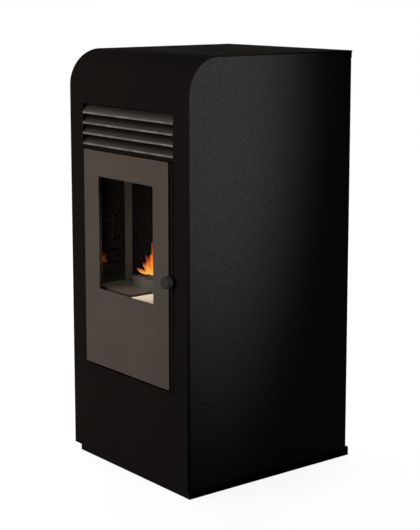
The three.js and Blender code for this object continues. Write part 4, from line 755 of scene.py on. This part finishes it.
def make_finishes(colours):
    """One material for each slot of the record, and those of single pieces."""
    finishes.update({
        "satin_black": satin_cover(colours),
        "textured_black": textured_black(colours),
        "taupe_enamel": enamel("taupe_enamel", colours.enamel, 0.5, 0.05, 90 * MM),
        # Painted shade on the fins: lit and shaded copies of the taupe enamel, darker inwards, and
        # darker on the lower fins than on the top one
        "top_fin_painted_shade": shaded_fin_enamel("top_fin_painted_shade", colours, 0.85, 0.35),
        "lower_fin_painted_shade": shaded_fin_enamel("lower_fin_painted_shade", colours, 0.39, 0.07),
        # painted highlight: the lips' pale colour and its strong patches stand for light caught on
        # the lips' edge
        "fin_lip_painted_highlight": enamel("fin_lip_painted_highlight", colours.lip, 0.42, 0.35, 30 * MM),
        "bright_steel": bright_steel(),
        "galvanised_steel": galvanised_steel(),
        "cast_iron": dark_iron(colours),
        "hearth_grey": hearth_grey(colours),
        "chamber_lining": chamber_lining("chamber_lining", colours, 1.0, 0.05),
        "dull_lining": chamber_lining("dull_lining", colours, 0.01, 0.5),
        "pale_tile": pale_tile(colours),
        "window_glass": window_glass(),
        "glass_rope": braided_rope(colours),
        "black_plastic": grained_plastic("black_plastic", colours.plastic, 0.85, 0.001),
        "knob_plastic": grained_plastic("knob_plastic", colours.knob, 0.6, 0.02),
        "foot_rubber": foot_rubber(),
        "flame_outer": flame_glow("flame_outer", FLAME_OUTER, 1.1, 0.75, 0.16),
        "flame_inner": flame_glow("flame_inner", FLAME_INNER, 1.3, 1.0, 0.2),
        "ember": ember(),
        "display_window": display_window(),
        "printed_mark": printed_mark(),
    })


# ---------------------------------------------------------------- casing

SIDE_TUCK = 2.3 * MM  # side panels inside the cover's outer face
COVER_SEAM = 1.5 * MM  # round the lid
PANEL_SEAM = 0.5 * MM
PANEL_FLANGE = 6.0 * MM
LOUVRE_WALL = 3.0 * MM
FRAME_CLEARANCE = 3.0 * MM  # under the door frame
FIN_CLEARANCE = 0.3 * MM
REAR_FOLD = 17.0 * MM  # cover's edge, folded down at the back
FLANGE = 19.0 * MM  # side panel's edge, folded in at the back
NEAR = 1e-6  # heights and depths closer than this are the same
NOWHERE = 1e3  # stands for rows that no opening may cut


def cover_profile(sizes, low, high):
    """The cover from the side: up the front, round the corner, back along the top, down behind.

    Each point comes with the direction into the stove and the width of the folded side edge there.
    """
    radius, fold = sizes.corner_radius, sizes.bend_radius
    front, rear, bottom, top = low.y, high.y, low.z, high.z
    sill, head = opening_heights()
    front_z = np.concatenate([
        span(bottom, sill, 5), span(sill, head, 9)[1:], span(head, top - radius, 3)[1:],
    ])
    seams = np.sort(np.concatenate([panel_opening()[2:], lid_opening()[2:]]))
    top_y = np.concatenate([[front + radius], seams, [rear - fold]])
    turn = span(0, math.pi / 2, 33)[1:-1]
    small_turn = span(0, math.pi / 2, 7)[1:]
    y = np.concatenate([
        np.full(len(front_z), front), front + radius * (1 - np.cos(turn)), top_y,
        rear - fold + fold * np.sin(small_turn), [rear],
    ])
    z = np.concatenate([
        front_z, top - radius + radius * np.sin(turn), np.full(len(top_y), top),
        top - fold + fold * np.cos(small_turn), [top - REAR_FOLD],
    ])
    angle = np.concatenate([
        np.zeros(len(front_z)), turn, np.full(len(top_y), math.pi / 2),
        math.pi / 2 + small_turn, [math.pi],
    ])
    share = (1 - np.cos(np.clip(angle, 0, math.pi / 2) * 2)) / 2
    edge = sizes.front_return + (sizes.top_return - sizes.front_return) * share
    return y, z, grid(np.cos(angle), -np.sin(angle)), edge


def opening_heights():
    """Bottom and top of the front opening."""
    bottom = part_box("door_frame")[0].z - FRAME_CLEARANCE
    return bottom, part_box("louvre_frame")[1].z - LOUVRE_WALL


def opening_sides():
    """Left and right of the front opening."""
    low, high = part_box("louvre_fin_1")
    return low.x - FIN_CLEARANCE, high.x + FIN_CLEARANCE


def panel_opening():
    """Left, right, front and rear of the control panel's cut-out."""
    low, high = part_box("control_panel")
    grow = PANEL_SEAM - PANEL_FLANGE
    return np.array([low.x - grow, high.x + grow, low.y - grow, high.y + grow])


def lid_opening():
    """Left, right, front and rear of the lid's cut-out."""
    low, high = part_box("hopper_lid")
    return np.array([low.x - COVER_SEAM, high.x + COVER_SEAM,
                     low.y - COVER_SEAM, high.y + PANEL_SEAM])


def inside(rows, columns, row_range, column_range):
    """Which faces of a grid lie between two rows and two columns, by their middles."""
    row = (rows[1:] + rows[:-1])[:, None] / 2
    column = (columns[1:] + columns[:-1])[None] / 2
    return ((row > row_range[0]) & (row < row_range[1])
            & (column > column_range[0]) & (column < column_range[1]))


def front_top_cover(sizes):
    """One sheet: the side profile carried across, both side edges folded in along its inward way.

    The point at (profile u, across v) is profile(u) + inward(u) d(v), at x(v), where d runs round
    the fold as r (1 - cos) and then on to the edge's width at u.
    """
    low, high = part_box("front_top_cover")
    y, z, inward, edge = cover_profile(sizes, low, high)
    fold = sizes.bend_radius
    inner_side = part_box("side_panel_right")[1].x - sizes.sheet
    cut_outs = (panel_opening(), lid_opening())
    flat_x = np.unique(np.round(np.concatenate([
        span(-inner_side, inner_side, 13), opening_sides(), *(cut_out[:2] for cut_out in cut_outs),
    ]), 7))
    flat = np.zeros(len(flat_x))
    turn = span(0, math.pi / 2, 7)
    side_x = np.concatenate([high.x - fold + fold * np.sin(turn), [high.x, high.x]])
    depth = np.concatenate([fold * (1 - np.cos(turn)), [0.0, 0.0]])
    edge_share = np.concatenate([np.zeros(len(turn)), [0.5, 1.0]])
    x = np.concatenate([-side_x[::-1], flat_x, side_x])
    depth = np.concatenate([depth[::-1], flat, depth])
    share = np.concatenate([edge_share[::-1], flat, edge_share])
    folded = np.where(share > 0, fold + (edge[:, None] - fold) * share, depth)
    points = grid(x, y[:, None] + inward[:, :1] * folded, z[:, None] + inward[:, 1:] * folded)
    on_top = z > high.z - NEAR
    front_rows = np.where(y < low.y + NEAR, z, NOWHERE)
    top_rows = np.where(on_top, y, NOWHERE)
    cut = inside(front_rows, x, opening_heights(), opening_sides())
    for left, right, front, rear in cut_outs:
        cut |= inside(top_rows, x, (front, rear), (left, right))
    behind = (np.flatnonzero(on_top)[-1], len(y))
    for past_side in ((-1, -inner_side), (inner_side, 1)):
        cut |= inside(np.arange(len(y)), x, behind, past_side)
    sheet = Surface(points[::-1], keep=~cut[::-1])
    return mesh_from("front_top_cover_dressed", [sheet], closed=False)


def side_panel(sizes, side):
    """A flat sheet, folded in behind: its plan (x, y) carried up to the casing's outline."""
    low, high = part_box("side_panel_right")
    fold = sizes.bend_radius
    radius = sizes.corner_radius - SIDE_TUCK
    centre_y, centre_z = low.y + radius, high.z - radius
    front_turn = span(0, math.pi / 2, 28)
    small_turn = span(0, math.pi / 2, 7)
    y = np.concatenate([
        centre_y - radius * np.cos(front_turn), [0.0, high.y - fold - 1 * MM],
        high.y - fold + fold * np.sin(small_turn), [high.y],
    ])
    x = np.concatenate([
        np.full(len(front_turn) + 2, high.x), high.x - fold + fold * np.cos(small_turn),
        [high.x - FLANGE],
    ])
    top = centre_z + np.sqrt(np.maximum(radius**2 - np.maximum(centre_y - y, 0) ** 2, 0))
    under_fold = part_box("front_top_cover")[1].z - REAR_FOLD - FIN_CLEARANCE
    top = np.where(y > high.y - fold - 0.5 * MM, under_fold, top)
    points = grid(side * x, y, low.z + (top - low.z) * span(0, 1, 9)[:, None])
    outward = points if side < 0 else points[::-1]
    return mesh_from("side_panel", [Surface(outward)], closed=False)


# ---------------------------------------------------------------- door

ROPE_CORNER = 12 * MM  # the rope's turn at the door's corners
ROPE_STEP = 2.2 * MM  # between two sections of the rope


def door_knob(sizes):
    """A turned knob: a plain grip with a round edge, a shallow dish and a neck."""
    low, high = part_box("door_knob")
    x, _, z = halfway(low, high)
    radius, depth = (high.x - low.x) / 2, high.y - low.y
    neck = radius * 0.86
    corners = [
        (0.0, depth - 0.5 * MM), (radius * 0.72, depth - 0.5 * MM), (radius * 0.8, depth),
        (radius, depth), (radius, 3.2 * MM), (neck, 1.4 * MM), (neck, 0.0), (0.0, 0.0),
    ]
    profile = rounded(corners, sizes.knob_edge)
    return mesh_from("door_knob", [lathe(profile, (x, high.y, z), (0, -1, 0), 72)])


def door_rope(sizes, strands=3, sides=24):
    """A three-strand rope round the door: its section swells with cos(3 (angle - twist))."""
    low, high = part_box("door_seal")
    centre = halfway(low, high)
    radius = (high.y - low.y) / 2
    loop = rounded_rectangle(
        (high.x - low.x) / 2 - radius, (high.z - low.z) / 2 - radius, ROPE_CORNER
    )
    closed = np.concatenate([loop, loop[:1]])
    reach = np.concatenate([[0.0], np.cumsum(np.linalg.norm(np.diff(closed, axis=0), axis=1))])
    at = span(0, reach[-1], int(reach[-1] / ROPE_STEP) + 1)[:-1]
    middle = grid(np.interp(at, reach, closed[:, 0]), np.interp(at, reach, closed[:, 1]))
    tangent = np.roll(middle, -1, axis=0) - np.roll(middle, 1, axis=0)
    tangent /= np.linalg.norm(tangent, axis=1)[:, None]
    angle = around(sides)
    twist = 2 * math.pi * round(reach[-1] / sizes.rope_lay) * at / reach[-1]
    swell = radius * (0.9 + 0.1 * np.cos(strands * angle[None] - strands * twist[:, None]))
    sideways = swell * np.cos(angle)
    points = grid(
        centre[0] + middle[:, :1] + tangent[:, 1:] * sideways,
        centre[1] + swell * np.sin(angle),
        centre[2] + middle[:, 1:] - tangent[:, :1] * sideways,
    )
    return mesh_from("door_rope", [Surface(points, wrap_rows=True, wrap_columns=True)])


# ---------------------------------------------------------------- fire

POT_WALL = 5.5 * MM  # wall of the burn pot, with room to spare
PELLET_TILT = 0.45  # radians
FLAME_LEAN = 44 * MM  # of the outermost tongues
FLAME_FOOT = 3 * MM  # below the pot's rim


def pellet_bed(sizes):
    """Short rods thrown into the pot: each is a circle swept along a line turned at random."""
    low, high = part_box("burn_pot")
    random = np.random.default_rng(SEED)
    count, radius = sizes.pellet_count, sizes.pellet_radius
    margin = radius + POT_WALL
    half_length = random.uniform(5.0, 8.0, count) * MM
    heading = random.uniform(-0.5, 0.5, count)
    tilt = random.uniform(-PELLET_TILT, PELLET_TILT, count)
    reach = (high.x - low.x) / 2 - margin - 6 * MM
    middle = grid(
        random.uniform(-reach, reach, count) + (low.x + high.x) / 2,
        random.uniform(low.y + margin + 3 * MM, high.y - margin, count),
        low.z + (10 + 31 * random.random(count)) * MM,
    )
    ends = rounded([(0.0, -1.0), (1.0, -1.0), (1.0, 1.0), (0.0, 1.0)], 0.3, 2)
    angle = around(10)[:, None]
    along = grid(np.cos(heading) * np.cos(tilt), np.sin(heading) * np.cos(tilt), np.sin(tilt))
    across = grid(-np.sin(heading), np.cos(heading), 0.0)
    up = np.cross(along, across)
    ring = np.cos(angle) * across[:, None, None] + np.sin(angle) * up[:, None, None]
    points = middle[:, None, None] + ends[:, :1, None] * radius * ring
    points += ends[:, 1:, None] * half_length[:, None, None, None] * along[:, None, None]
    return mesh_from("pot_embers", [Surface(rod, wrap_columns=True) for rod in points])


def flame(sizes, tongues=23):
    """Tongues of fire: a flat oval of radius r(t), swept up a line that sways and leans outwards.

    r(t) grows as t^0.4 and closes as (1 - t)^0.9, rippled by sines of height and angle. Tongues
    stand across the pot at s from -1 to 1, each with a smaller one inside, and are tallest in
    the middle.
    """
    low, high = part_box("burn_pot")
    random = np.random.default_rng(SEED)
    middle = (low + high) / 2
    foot = high.z - FLAME_FOOT
    reach = (high.x - low.x) / 2 - 9 * MM
    t = span(0, 1, 36)[:, None]
    angle = around(18)
    swell = t**0.4 * (1 - t) ** 0.9
    swell /= swell.max()
    surfaces = []
    for s in span(-1, 1, tongues):
        grow, wide, phase, depth, drift = random.uniform(-1, 1, 5)
        tall = sizes.flame_height * (1 - 0.94 * abs(s) ** 0.64) * (0.9 + 0.2 * grow)
        half = (10.0 + 2.5 * wide) * MM
        lean = FLAME_LEAN * s * abs(s) + 5 * MM * drift
        sway_x = lean * t**0.35 + 3.5 * MM * t * np.sin(10 * t + 5 * phase)
        sway_y = (5.5 * depth - 3 * t) * MM
        for inner, size, rise in ((0, 1.0, 1.0), (1, 0.76, 0.9)):
            ripple = 1 + 0.16 * np.sin(15 * t * rise + 2 * angle + 6 * phase)
            ripple += 0.08 * np.sin(31 * t + 5 * drift)
            width = half * size * swell * ripple
            points = grid(
                middle.x + s * reach + sway_x + width * np.cos(angle),
                middle.y + sway_y + 0.45 * width * np.sin(angle),
                foot + tall * rise * t,
            )
            surfaces.append(Surface(points, wrap_columns=True, finish=inner))
    return mesh_from("flame", surfaces)


# ---------------------------------------------------------------- pipes, controls and screws

PIPE_WALL = 2 * MM
LIP = 0.7 * MM  # round on a pipe's end or a button's rim
GROOVE_WIDTH = 3.2 * MM
GROOVE_DEPTH = 0.9 * MM
GROOVES = {"flue_pipe": (9, 14), "air_intake_pipe": (5, 9)}  # mm in from the outer end
CAP_HEIGHT = 5 * MM  # of a button
STEM_RADIUS = 3 * MM
MARK_THICKNESS = 0.16 * MM
MARK_STROKE = 0.3 * MM  # half the width of a line


def pipe(node):
    """A tube turned from its wall's section: rolled lips, rolled grooves near its outer end."""
    low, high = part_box(node)
    radius, reach = (high.x - low.x) / 2, high.y - low.y
    across = span(0, 1, 9)
    outer = [(radius - PIPE_WALL * 0.5, 0.0), (radius, 0.5 * MM)]
    for groove in sorted(GROOVES[node], reverse=True):
        along = reach - groove * MM + (across - 0.5) * GROOVE_WIDTH
        outer.extend(zip(radius - GROOVE_DEPTH * np.sin(math.pi * across) ** 2, along))
    outer.extend([(radius, reach - LIP), (radius - 0.6 * MM, reach)])
    bore = radius - PIPE_WALL
    inner = [(bore + 0.5 * MM, reach), (bore, reach - LIP), (bore, 0.5 * MM),
             (radius - PIPE_WALL * 0.5, 0.0)]
    x, _, z = halfway(low, high)
    return mesh_from(node, [lathe(outer + inner, (x, low.y, z), (0, 1, 0), 96)])


def display():
    """A thin window with round corners, laid on the left part of the control panel."""
    low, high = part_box("control_panel")
    left, right = low.x + 16 * MM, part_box("button_power")[0].x - 8 * MM
    centre = ((left + right) / 2, (low.y + high.y) / 2, high.z)
    outline = rounded_rectangle((right - left) / 2, 21 * MM, 3 * MM)
    return mesh_from("display_window", [slab(outline, centre, 0.5 * MM, 0.25 * MM)])


def button(node):
    """A turned button: a dished cap with a round rim on a thin stem."""
    low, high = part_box(node)
    x, y, _ = halfway(low, high)
    radius, tall = (high.x - low.x) / 2, high.z - low.z
    skirt = tall - CAP_HEIGHT
    corners = [
        (0.0, tall - 0.35 * MM), (radius * 0.7, tall - 0.2 * MM), (radius - LIP, tall),
        (radius, tall - LIP), (radius, skirt), (STEM_RADIUS, skirt), (STEM_RADIUS, 0.0),
        (0.0, 0.0),
    ]
    profile = rounded(corners, 0.6 * MM, 3)
    return mesh_from(node, [lathe(profile, (x, y, low.z), (0, 0, 1), 48)])


def arrow_mark(centre, direction):
    """A small triangle that points to the rear (1) or the front (-1)."""
    outline = np.array([(-2.6, -1.5), (2.6, -1.5), (0.0, 2.4)]) * MM * (direction, direction)
    return [slab(outline, centre, MARK_THICKNESS)]


def power_mark(centre):
    """The common on/off sign: most of a ring and a short upright bar in its gap."""
    x, y, z = centre
    angle = span(math.radians(125), math.radians(415), 33)
    section = rounded_rectangle(MARK_STROKE, MARK_THICKNESS / 2, 0.05 * MM, 2)
    reach = 2.4 * MM + section[:, 0]
    points = grid(
        x + reach * np.cos(angle)[:, None],
        y + reach * np.sin(angle)[:, None],
        z + MARK_THICKNESS / 2 + section[:, 1],
    )
    ends = [np.broadcast_to(row.mean(axis=0), row.shape)[None] for row in (points[0], points[-1])]
    ring = Surface(np.concatenate([ends[0], points, ends[1]]), wrap_columns=True)
    bar = rounded_rectangle(MARK_STROKE, 1.5 * MM, 0.2 * MM, 3)
    return [ring, slab(bar, (x, y + 1.7 * MM, z), MARK_THICKNESS)]


def mark_place(node):
    """The bottom of a button's dish."""
    low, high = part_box(node)
    x, y, _ = halfway(low, high)
    return x, y, high.z - 0.36 * MM


def screw_head(seat, radius, sides):
    """A button head: an elliptic dome with a round socket sunk in its top."""
    tall = radius * 0.42
    angle = [a for a in span(0, math.pi / 2, 7) if math.cos(a) > 0.42]
    dome = [(radius * math.cos(a), tall * math.sin(a)) for a in angle]
    socket = [(radius * 0.4, tall * 0.88), (radius * 0.38, tall * 0.3), (0.0, tall * 0.25)]
    seated = [(0.0, -0.3 * MM), (radius, -0.3 * MM)]
    return lathe(seated + dome + socket, seat, (0, 1, 0), sides)


def rear_screws(radius):
    """Screw heads up both rear flanges, along the cover's fold and beside the mains inlet."""
    panel_low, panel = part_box("side_panel_right")
    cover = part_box("front_top_cover")[1]
    rows = span(panel_low.z + 45 * MM, cover.z - 65 * MM, 5)
    seats = [(side * (panel.x - FLANGE / 2), panel.y, z) for side in (-1, 1) for z in rows]
    seats += [(x, cover.y, cover.z - REAR_FOLD / 2) for x in span(-150 * MM, 150 * MM, 3)]
    heads = [screw_head(seat, radius, 24) for seat in seats]
    low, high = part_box("power_inlet")
    for x in (low.x + 2.5 * MM, high.x - 2.5 * MM):
        heads.append(screw_head((x, high.y, (low.z + high.z) / 2), radius * 0.42, 16))
    return mesh_from("rear_screws", heads)


# ---------------------------------------------------------------- operators


class STOVE_OT_finishes(bpy.types.Operator):
    """Makes the materials and gives every CAD node its own"""

    bl_idname = "stove.finishes"
    bl_label = "Finishes"

    def execute(self, context):
        make_finishes(context.scene.stove_colours)
        for node, piece in frame["nodes"].items():
            finish = finishes[looks_of(node)[0]]
            if not piece.data.materials:
                piece.data.materials.append(finish)
            for material_slot in piece.material_slots:
                material_slot.material = finish
        return {"FINISHED"}


class STOVE_OT_casing(bpy.types.Operator):
    """Front and top cover, side panels, rear panel and base tray"""

    bl_idname = "stove.casing"
    bl_label = "Casing"

    def execute(self, context):
        sizes = context.scene.stove_sizes
        sheets = [dress("front_top_cover", front_top_cover(sizes))]
        for side, node in ((-1, "side_panel_left"), (1, "side_panel_right")):
            sheets.append(dress(node, side_panel(sizes, side)))
        for piece in sheets:
            add_thickness(piece, sizes.sheet)
            add_bevel(piece, sizes.edge_softness * 0.8)
            settle(piece)
        soften(sizes, {"rear_panel": 1.0, "base_tray": 1.6})
        return {"FINISHED"}


class STOVE_OT_louvres(bpy.types.Operator):
    """Louvre frame and fins, each fin's front lip in a paler finish that is a painted highlight"""

    bl_idname = "stove.louvres"
    bl_label = "Louvres"

    def execute(self, context):
        sizes = context.scene.stove_sizes
        soften(sizes, {"louvre_frame": 1.0})
        for node in sorted(name for name in frame["nodes"] if name.startswith("louvre_fin_")):
            fin = soften(sizes, {node: 0.8})
            # the fin's front faces take the lip finish, a painted highlight
            finish_beyond(fin, (0, -1, 0), -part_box(node)[0].y - sizes.edge_softness)
        return {"FINISHED"}


class STOVE_OT_door(bpy.types.Operator):
    """Door plate, frame, glass, its seal, knob and latch"""

    bl_idname = "stove.door"
    bl_label = "Door"

    def execute(self, context):
        sizes = context.scene.stove_sizes
        soften(sizes, {"door_plate": 1.0, "door_frame": 1.0, "door_glass": 1.0,
                       "hinge_bracket": 1.0, "latch_spindle": 1.0})
        dress("door_knob", door_knob(sizes))
        show("door_seal_rope", door_rope(sizes), ["glass_rope"], "door",
             ("door_seal",))
        return {"FINISHED"}


class STOVE_OT_firebox(bpy.types.Operator):
    """Firebox body, linings, corner strips, tile, baffle, burn pot and ash pan"""

    bl_idname = "stove.firebox"
    bl_label = "Firebox"

    def execute(self, context):
        sizes = context.scene.stove_sizes
        soften(sizes, {
            "firebox_body": 1.0, "hearth_tile": 1.2, "lining_back": 1.2, "lining_left": 1.2,
            "lining_right": 1.2, "corner_strip_left": 1.0, "corner_strip_right": 1.0,
            "baffle": 1.2, "burn_pot": 1.4, "ash_pan": 0.8,
        })
        return {"FINISHED"}


class STOVE_OT_fire(bpy.types.Operator):
    """Burning pellets in the pot and the flame over them"""

    bl_idname = "stove.fire"
    bl_label = "Fire"

    def execute(self, context):
        sizes = context.scene.stove_sizes
        show("pot_embers", pellet_bed(sizes), ["ember"], "pot")
        show("flame", flame(sizes), ["flame_outer", "flame_inner"], "pot")
        return {"FINISHED"}


class STOVE_OT_pipes(bpy.types.Operator):
    """Flue pipe and air pipe behind the casing"""

    bl_idname = "stove.pipes"
    bl_label = "Pipes"

    def execute(self, context):
        for node in GROOVES:
            dress(node, pipe(node))
        return {"FINISHED"}


class STOVE_OT_feet(bpy.types.Operator):
    """Levelling feet"""

    bl_idname = "stove.feet"
    bl_label = "Feet"

    def execute(self, context):
        sizes = context.scene.stove_sizes
        feet = sorted(name for name in frame["nodes"] if name.startswith("foot_"))
        soften(sizes, dict.fromkeys(feet, 1.0))
        return {"FINISHED"}


class STOVE_OT_controls(bpy.types.Operator):
    """Control panel, its display window and buttons, and the mains inlet with its switch"""

    bl_idname = "stove.controls"
    bl_label = "Controls"

    def execute(self, context):
        sizes = context.scene.stove_sizes
        soften(sizes, {"control_panel": 1.0, "power_inlet": 1.0, "power_switch": 1.6})
        show("display_window", display(), ["display_window"], "root")
        marks = {
            "button_power": power_mark(mark_place("button_power")),
            "button_up": arrow_mark(mark_place("button_up"), 1),
            "button_down": arrow_mark(mark_place("button_down"), -1),
        }
        for node, surfaces in marks.items():
            dress(node, button(node))
            name = node + "_mark"
            show(name, mesh_from(name, surfaces), ["printed_mark"], BODY_OF_NODE[node])
        return {"FINISHED"}


class STOVE_OT_works(bpy.types.Operator):
    """What stands inside: chassis, hopper with the seal on its rim, feed, fans and smoke path"""

    bl_idname = "stove.works"
    bl_label = "Inner Works"

    def execute(self, context):
        sizes = context.scene.stove_sizes
        soften(sizes, {
            "chassis_left": 0.8, "chassis_right": 0.8, "hopper_lid": 1.0, "auger_tube": 0.8,
            "auger_motor": 1.6, "pellet_chute": 0.8, "smoke_duct": 1.0, "exhaust_housing": 1.0,
            "exhaust_motor": 1.6, "exhaust_impeller": 0.5, "igniter": 0.8,
            "room_fan_housing": 0.8, "room_fan_rotor": 0.4, "room_fan_motor": 1.6,
        })
        hopper = soften(sizes, {"hopper": 0.8})
        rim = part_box("front_top_cover")[1].z - 1.5 * sizes.sheet
        finish_beyond(hopper, (0, 0, 1), rim)
        return {"FINISHED"}


class STOVE_OT_screws(bpy.types.Operator):
    """Screws on the rear flanges and beside the mains inlet"""

    bl_idname = "stove.screws"
    bl_label = "Screws"

    def execute(self, context):
        sizes = context.scene.stove_sizes
        show("rear_screws", rear_screws(sizes.screw_radius), ["bright_steel"], "root")
        return {"FINISHED"}


# ---------------------------------------------------------------- stage
# Places are in metres, powers in watts.

CAMERA_PLACE = (2.48107, -1.97943, 1.09981)
CAMERA_HEADING = math.radians(51.5993)
CAMERA_DIP = math.radians(8.93724)
CAMERA_LENS = 94.83
CAMERA_SHIFT = -0.1189
FLOOR_HALF = 40.0
FLOOR_GREY = (0.14, 0.14, 0.14)
FLOOR_WHITE = 0.93  # what the floor adds for the eye alone, so that it reads as white
AMBIENT = 0.022  # light that comes from everywhere
SOFTBOXES = (  # name, place, target, size, power
    ("front_softbox", (-0.95, -3.0, 0.85), (-0.35, -0.2, 0.55), 1.7, 80.0),
    ("top_softbox", (-0.95, 0.3, 3.2), (-0.35, 0.0, 0.9), 2.0, 26.0),
    ("rear_softbox", (-0.95, 3.0, 1.5), (-0.35, 0.2, 0.6), 2.0, 66.0),
    ("left_softbox", (-3.0, 0.0, 1.5), (-0.2, 0.0, 0.6), 2.0, 40.0),
)
SIDE_LIGHT_AWAY = 1.1  # from the right side panel
SIDE_LIGHT_CONE = math.radians(80)
SIDE_LIGHT_NARROWING = 0.345  # makes the cone an upright oval
SIDE_LIGHT_POWER = 45.0
FIRE_COLOUR = (1.0, 0.87, 0.72)
FIRE_POWER = 0.35


class STOVE_OT_stage(bpy.types.Operator):
    """Pale floor, soft lamps, white surroundings and the camera"""

    bl_idname = "stove.stage"
    bl_label = "Stage"

    def execute(self, context):
        lay_floor()
        surround()
        for name, spot, target, size, power in SOFTBOXES:
            lamp(name, "AREA", spot, target, power).size = size
        side_light()
        fire_light()
        place_camera()
        bpy.context.scene.view_settings.view_transform = "Standard"
        return {"FINISHED"}


def sees(nodes):
    """1 for rays from the eye, a mirror or glass, and 0 for those that light things."""
    rays = nodes.node("ShaderNodeLightPath")
    eye, mirror, glass = [Value(nodes, rays.outputs[name]) for name in
                          ("Is Camera Ray", "Is Glossy Ray", "Is Transmission Ray")]
    return nodes.between(eye + mirror + glass, 0.0, 1.0)


def lay_floor():
    """A wide flat floor, and its pale material, which keeps the stove's shadow."""
    across = span(-FLOOR_HALF, FLOOR_HALF, 3)
    mesh = mesh_from("floor", [Surface(grid(across[:, None], across, 0.0))], closed=False)
    pale = Finish("pale_floor", roughness=1.0, specular_ior_level=0.0, emission_strength=1.0)
    pale.set("Base Color", FLOOR_GREY)
    away = pale.coordinate(0) ** 2 + pale.coordinate(1) ** 2
    white = sees(pale) * pale.between(away, 0.5, 4.0, FLOOR_WHITE, 1.0)
    pale.set("Emission Color", pale.mix((0.0, 0.0, 0.0), (1.0, 1.0, 1.0), white))
    mesh.materials.append(pale.material)
    place("floor", mesh)


def surround():
    """An even world: white to the eye, and weaker as a light."""
    world = bpy.data.worlds.new("surroundings")
    bpy.context.scene.world = world
    nodes = NodeTree(world)
    background = nodes.tree.nodes["Background"]
    nodes.feed(background.inputs["Color"], (1.0, 1.0, 1.0))
    nodes.feed(background.inputs["Strength"], sees(nodes) * (1.0 - AMBIENT) + AMBIENT)


def aim(holder, spot, direction):
    """Puts a lamp or camera in its place and turns it to look along a direction."""
    holder.location = spot
    holder.rotation_euler = direction.to_track_quat("-Z", "Y").to_euler()
    return holder


def lamp(name, kind, spot, target, power, narrow=1.0):
    """A lamp that shines at its target and is hidden from the camera."""
    light = bpy.data.lights.new(name, kind)
    light.energy = power
    holder = aim(place(name, light), spot, Vector(target) - Vector(spot))
    holder.visible_camera = False
    holder.scale = (narrow, 1.0, 1.0)
    return light


def side_light():
    """A spot with a wholly soft edge, which fades across the right side panel."""
    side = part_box("side_panel_right")[1].x
    light = lamp("side_light", "SPOT", (side + SIDE_LIGHT_AWAY, -0.15, 0.9),
                 (side, -0.166, 0.88), SIDE_LIGHT_POWER, SIDE_LIGHT_NARROWING)
    light.spot_size = SIDE_LIGHT_CONE
    light.spot_blend = 1.0
    light.shadow_soft_size = 0.08


def fire_light():
    """The glow of the fire on the hearth, from the front of the flame."""
    low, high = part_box("burn_pot")
    x, y = (low.x + high.x) / 2, low.y - 0.03
    light = lamp("fire_light", "POINT", (x, y, high.z + 0.07), (x, y, 0.0), FIRE_POWER)
    light.color = FIRE_COLOUR
    light.shadow_soft_size = 0.02


def place_camera():
    """The photograph's viewpoint, fitted to the casing's edges."""
    level = math.cos(CAMERA_DIP)
    forward = Vector((
        -math.sin(CAMERA_HEADING) * level, math.cos(CAMERA_HEADING) * level, -math.sin(CAMERA_DIP)
    ))
    camera = bpy.data.cameras.new("camera")
    camera.lens = CAMERA_LENS
    camera.shift_y = CAMERA_SHIFT
    bpy.context.scene.camera = aim(place("camera", camera), CAMERA_PLACE, forward)


# ---------------------------------------------------------------- add-on

OPERATORS = (
    STOVE_OT_finishes, STOVE_OT_casing, STOVE_OT_louvres, STOVE_OT_door, STOVE_OT_firebox,
    STOVE_OT_fire, STOVE_OT_pipes, STOVE_OT_feet, STOVE_OT_controls, STOVE_OT_works,
    STOVE_OT_screws, STOVE_OT_stage,
)


class STOVE_PT_panel(bpy.types.Panel):
    """Lists the stove's operators, sizes and colours"""

    bl_label = "Pellet Stove"
    bl_space_type = "VIEW_3D"
    bl_region_type = "UI"
    bl_category = "Stove"

    def draw(self, context):
        for operator in OPERATORS:
            self.layout.operator(operator.bl_idname)
        for group in (context.scene.stove_sizes, context.scene.stove_colours):
            box = self.layout.box()
            for name in group.__annotations__:
                box.prop(group, name)


CLASSES = (StoveSizes, StoveColours, *OPERATORS, STOVE_PT_panel)


def register():
    for entry in CLASSES:
        bpy.utils.register_class(entry)
    bpy.types.Scene.stove_sizes = PointerProperty(type=StoveSizes)
    bpy.types.Scene.stove_colours = PointerProperty(type=StoveColours)


def unregister():
    del bpy.types.Scene.stove_colours
    del bpy.types.Scene.stove_sizes
    for entry in reversed(CLASSES):
        bpy.utils.unregister_class(entry)


def main():
    register()
    for operator in OPERATORS:
        group, name = operator.bl_idname.split(".")
        getattr(getattr(bpy.ops, group), name)()


if __name__ == "__main__":
    main()
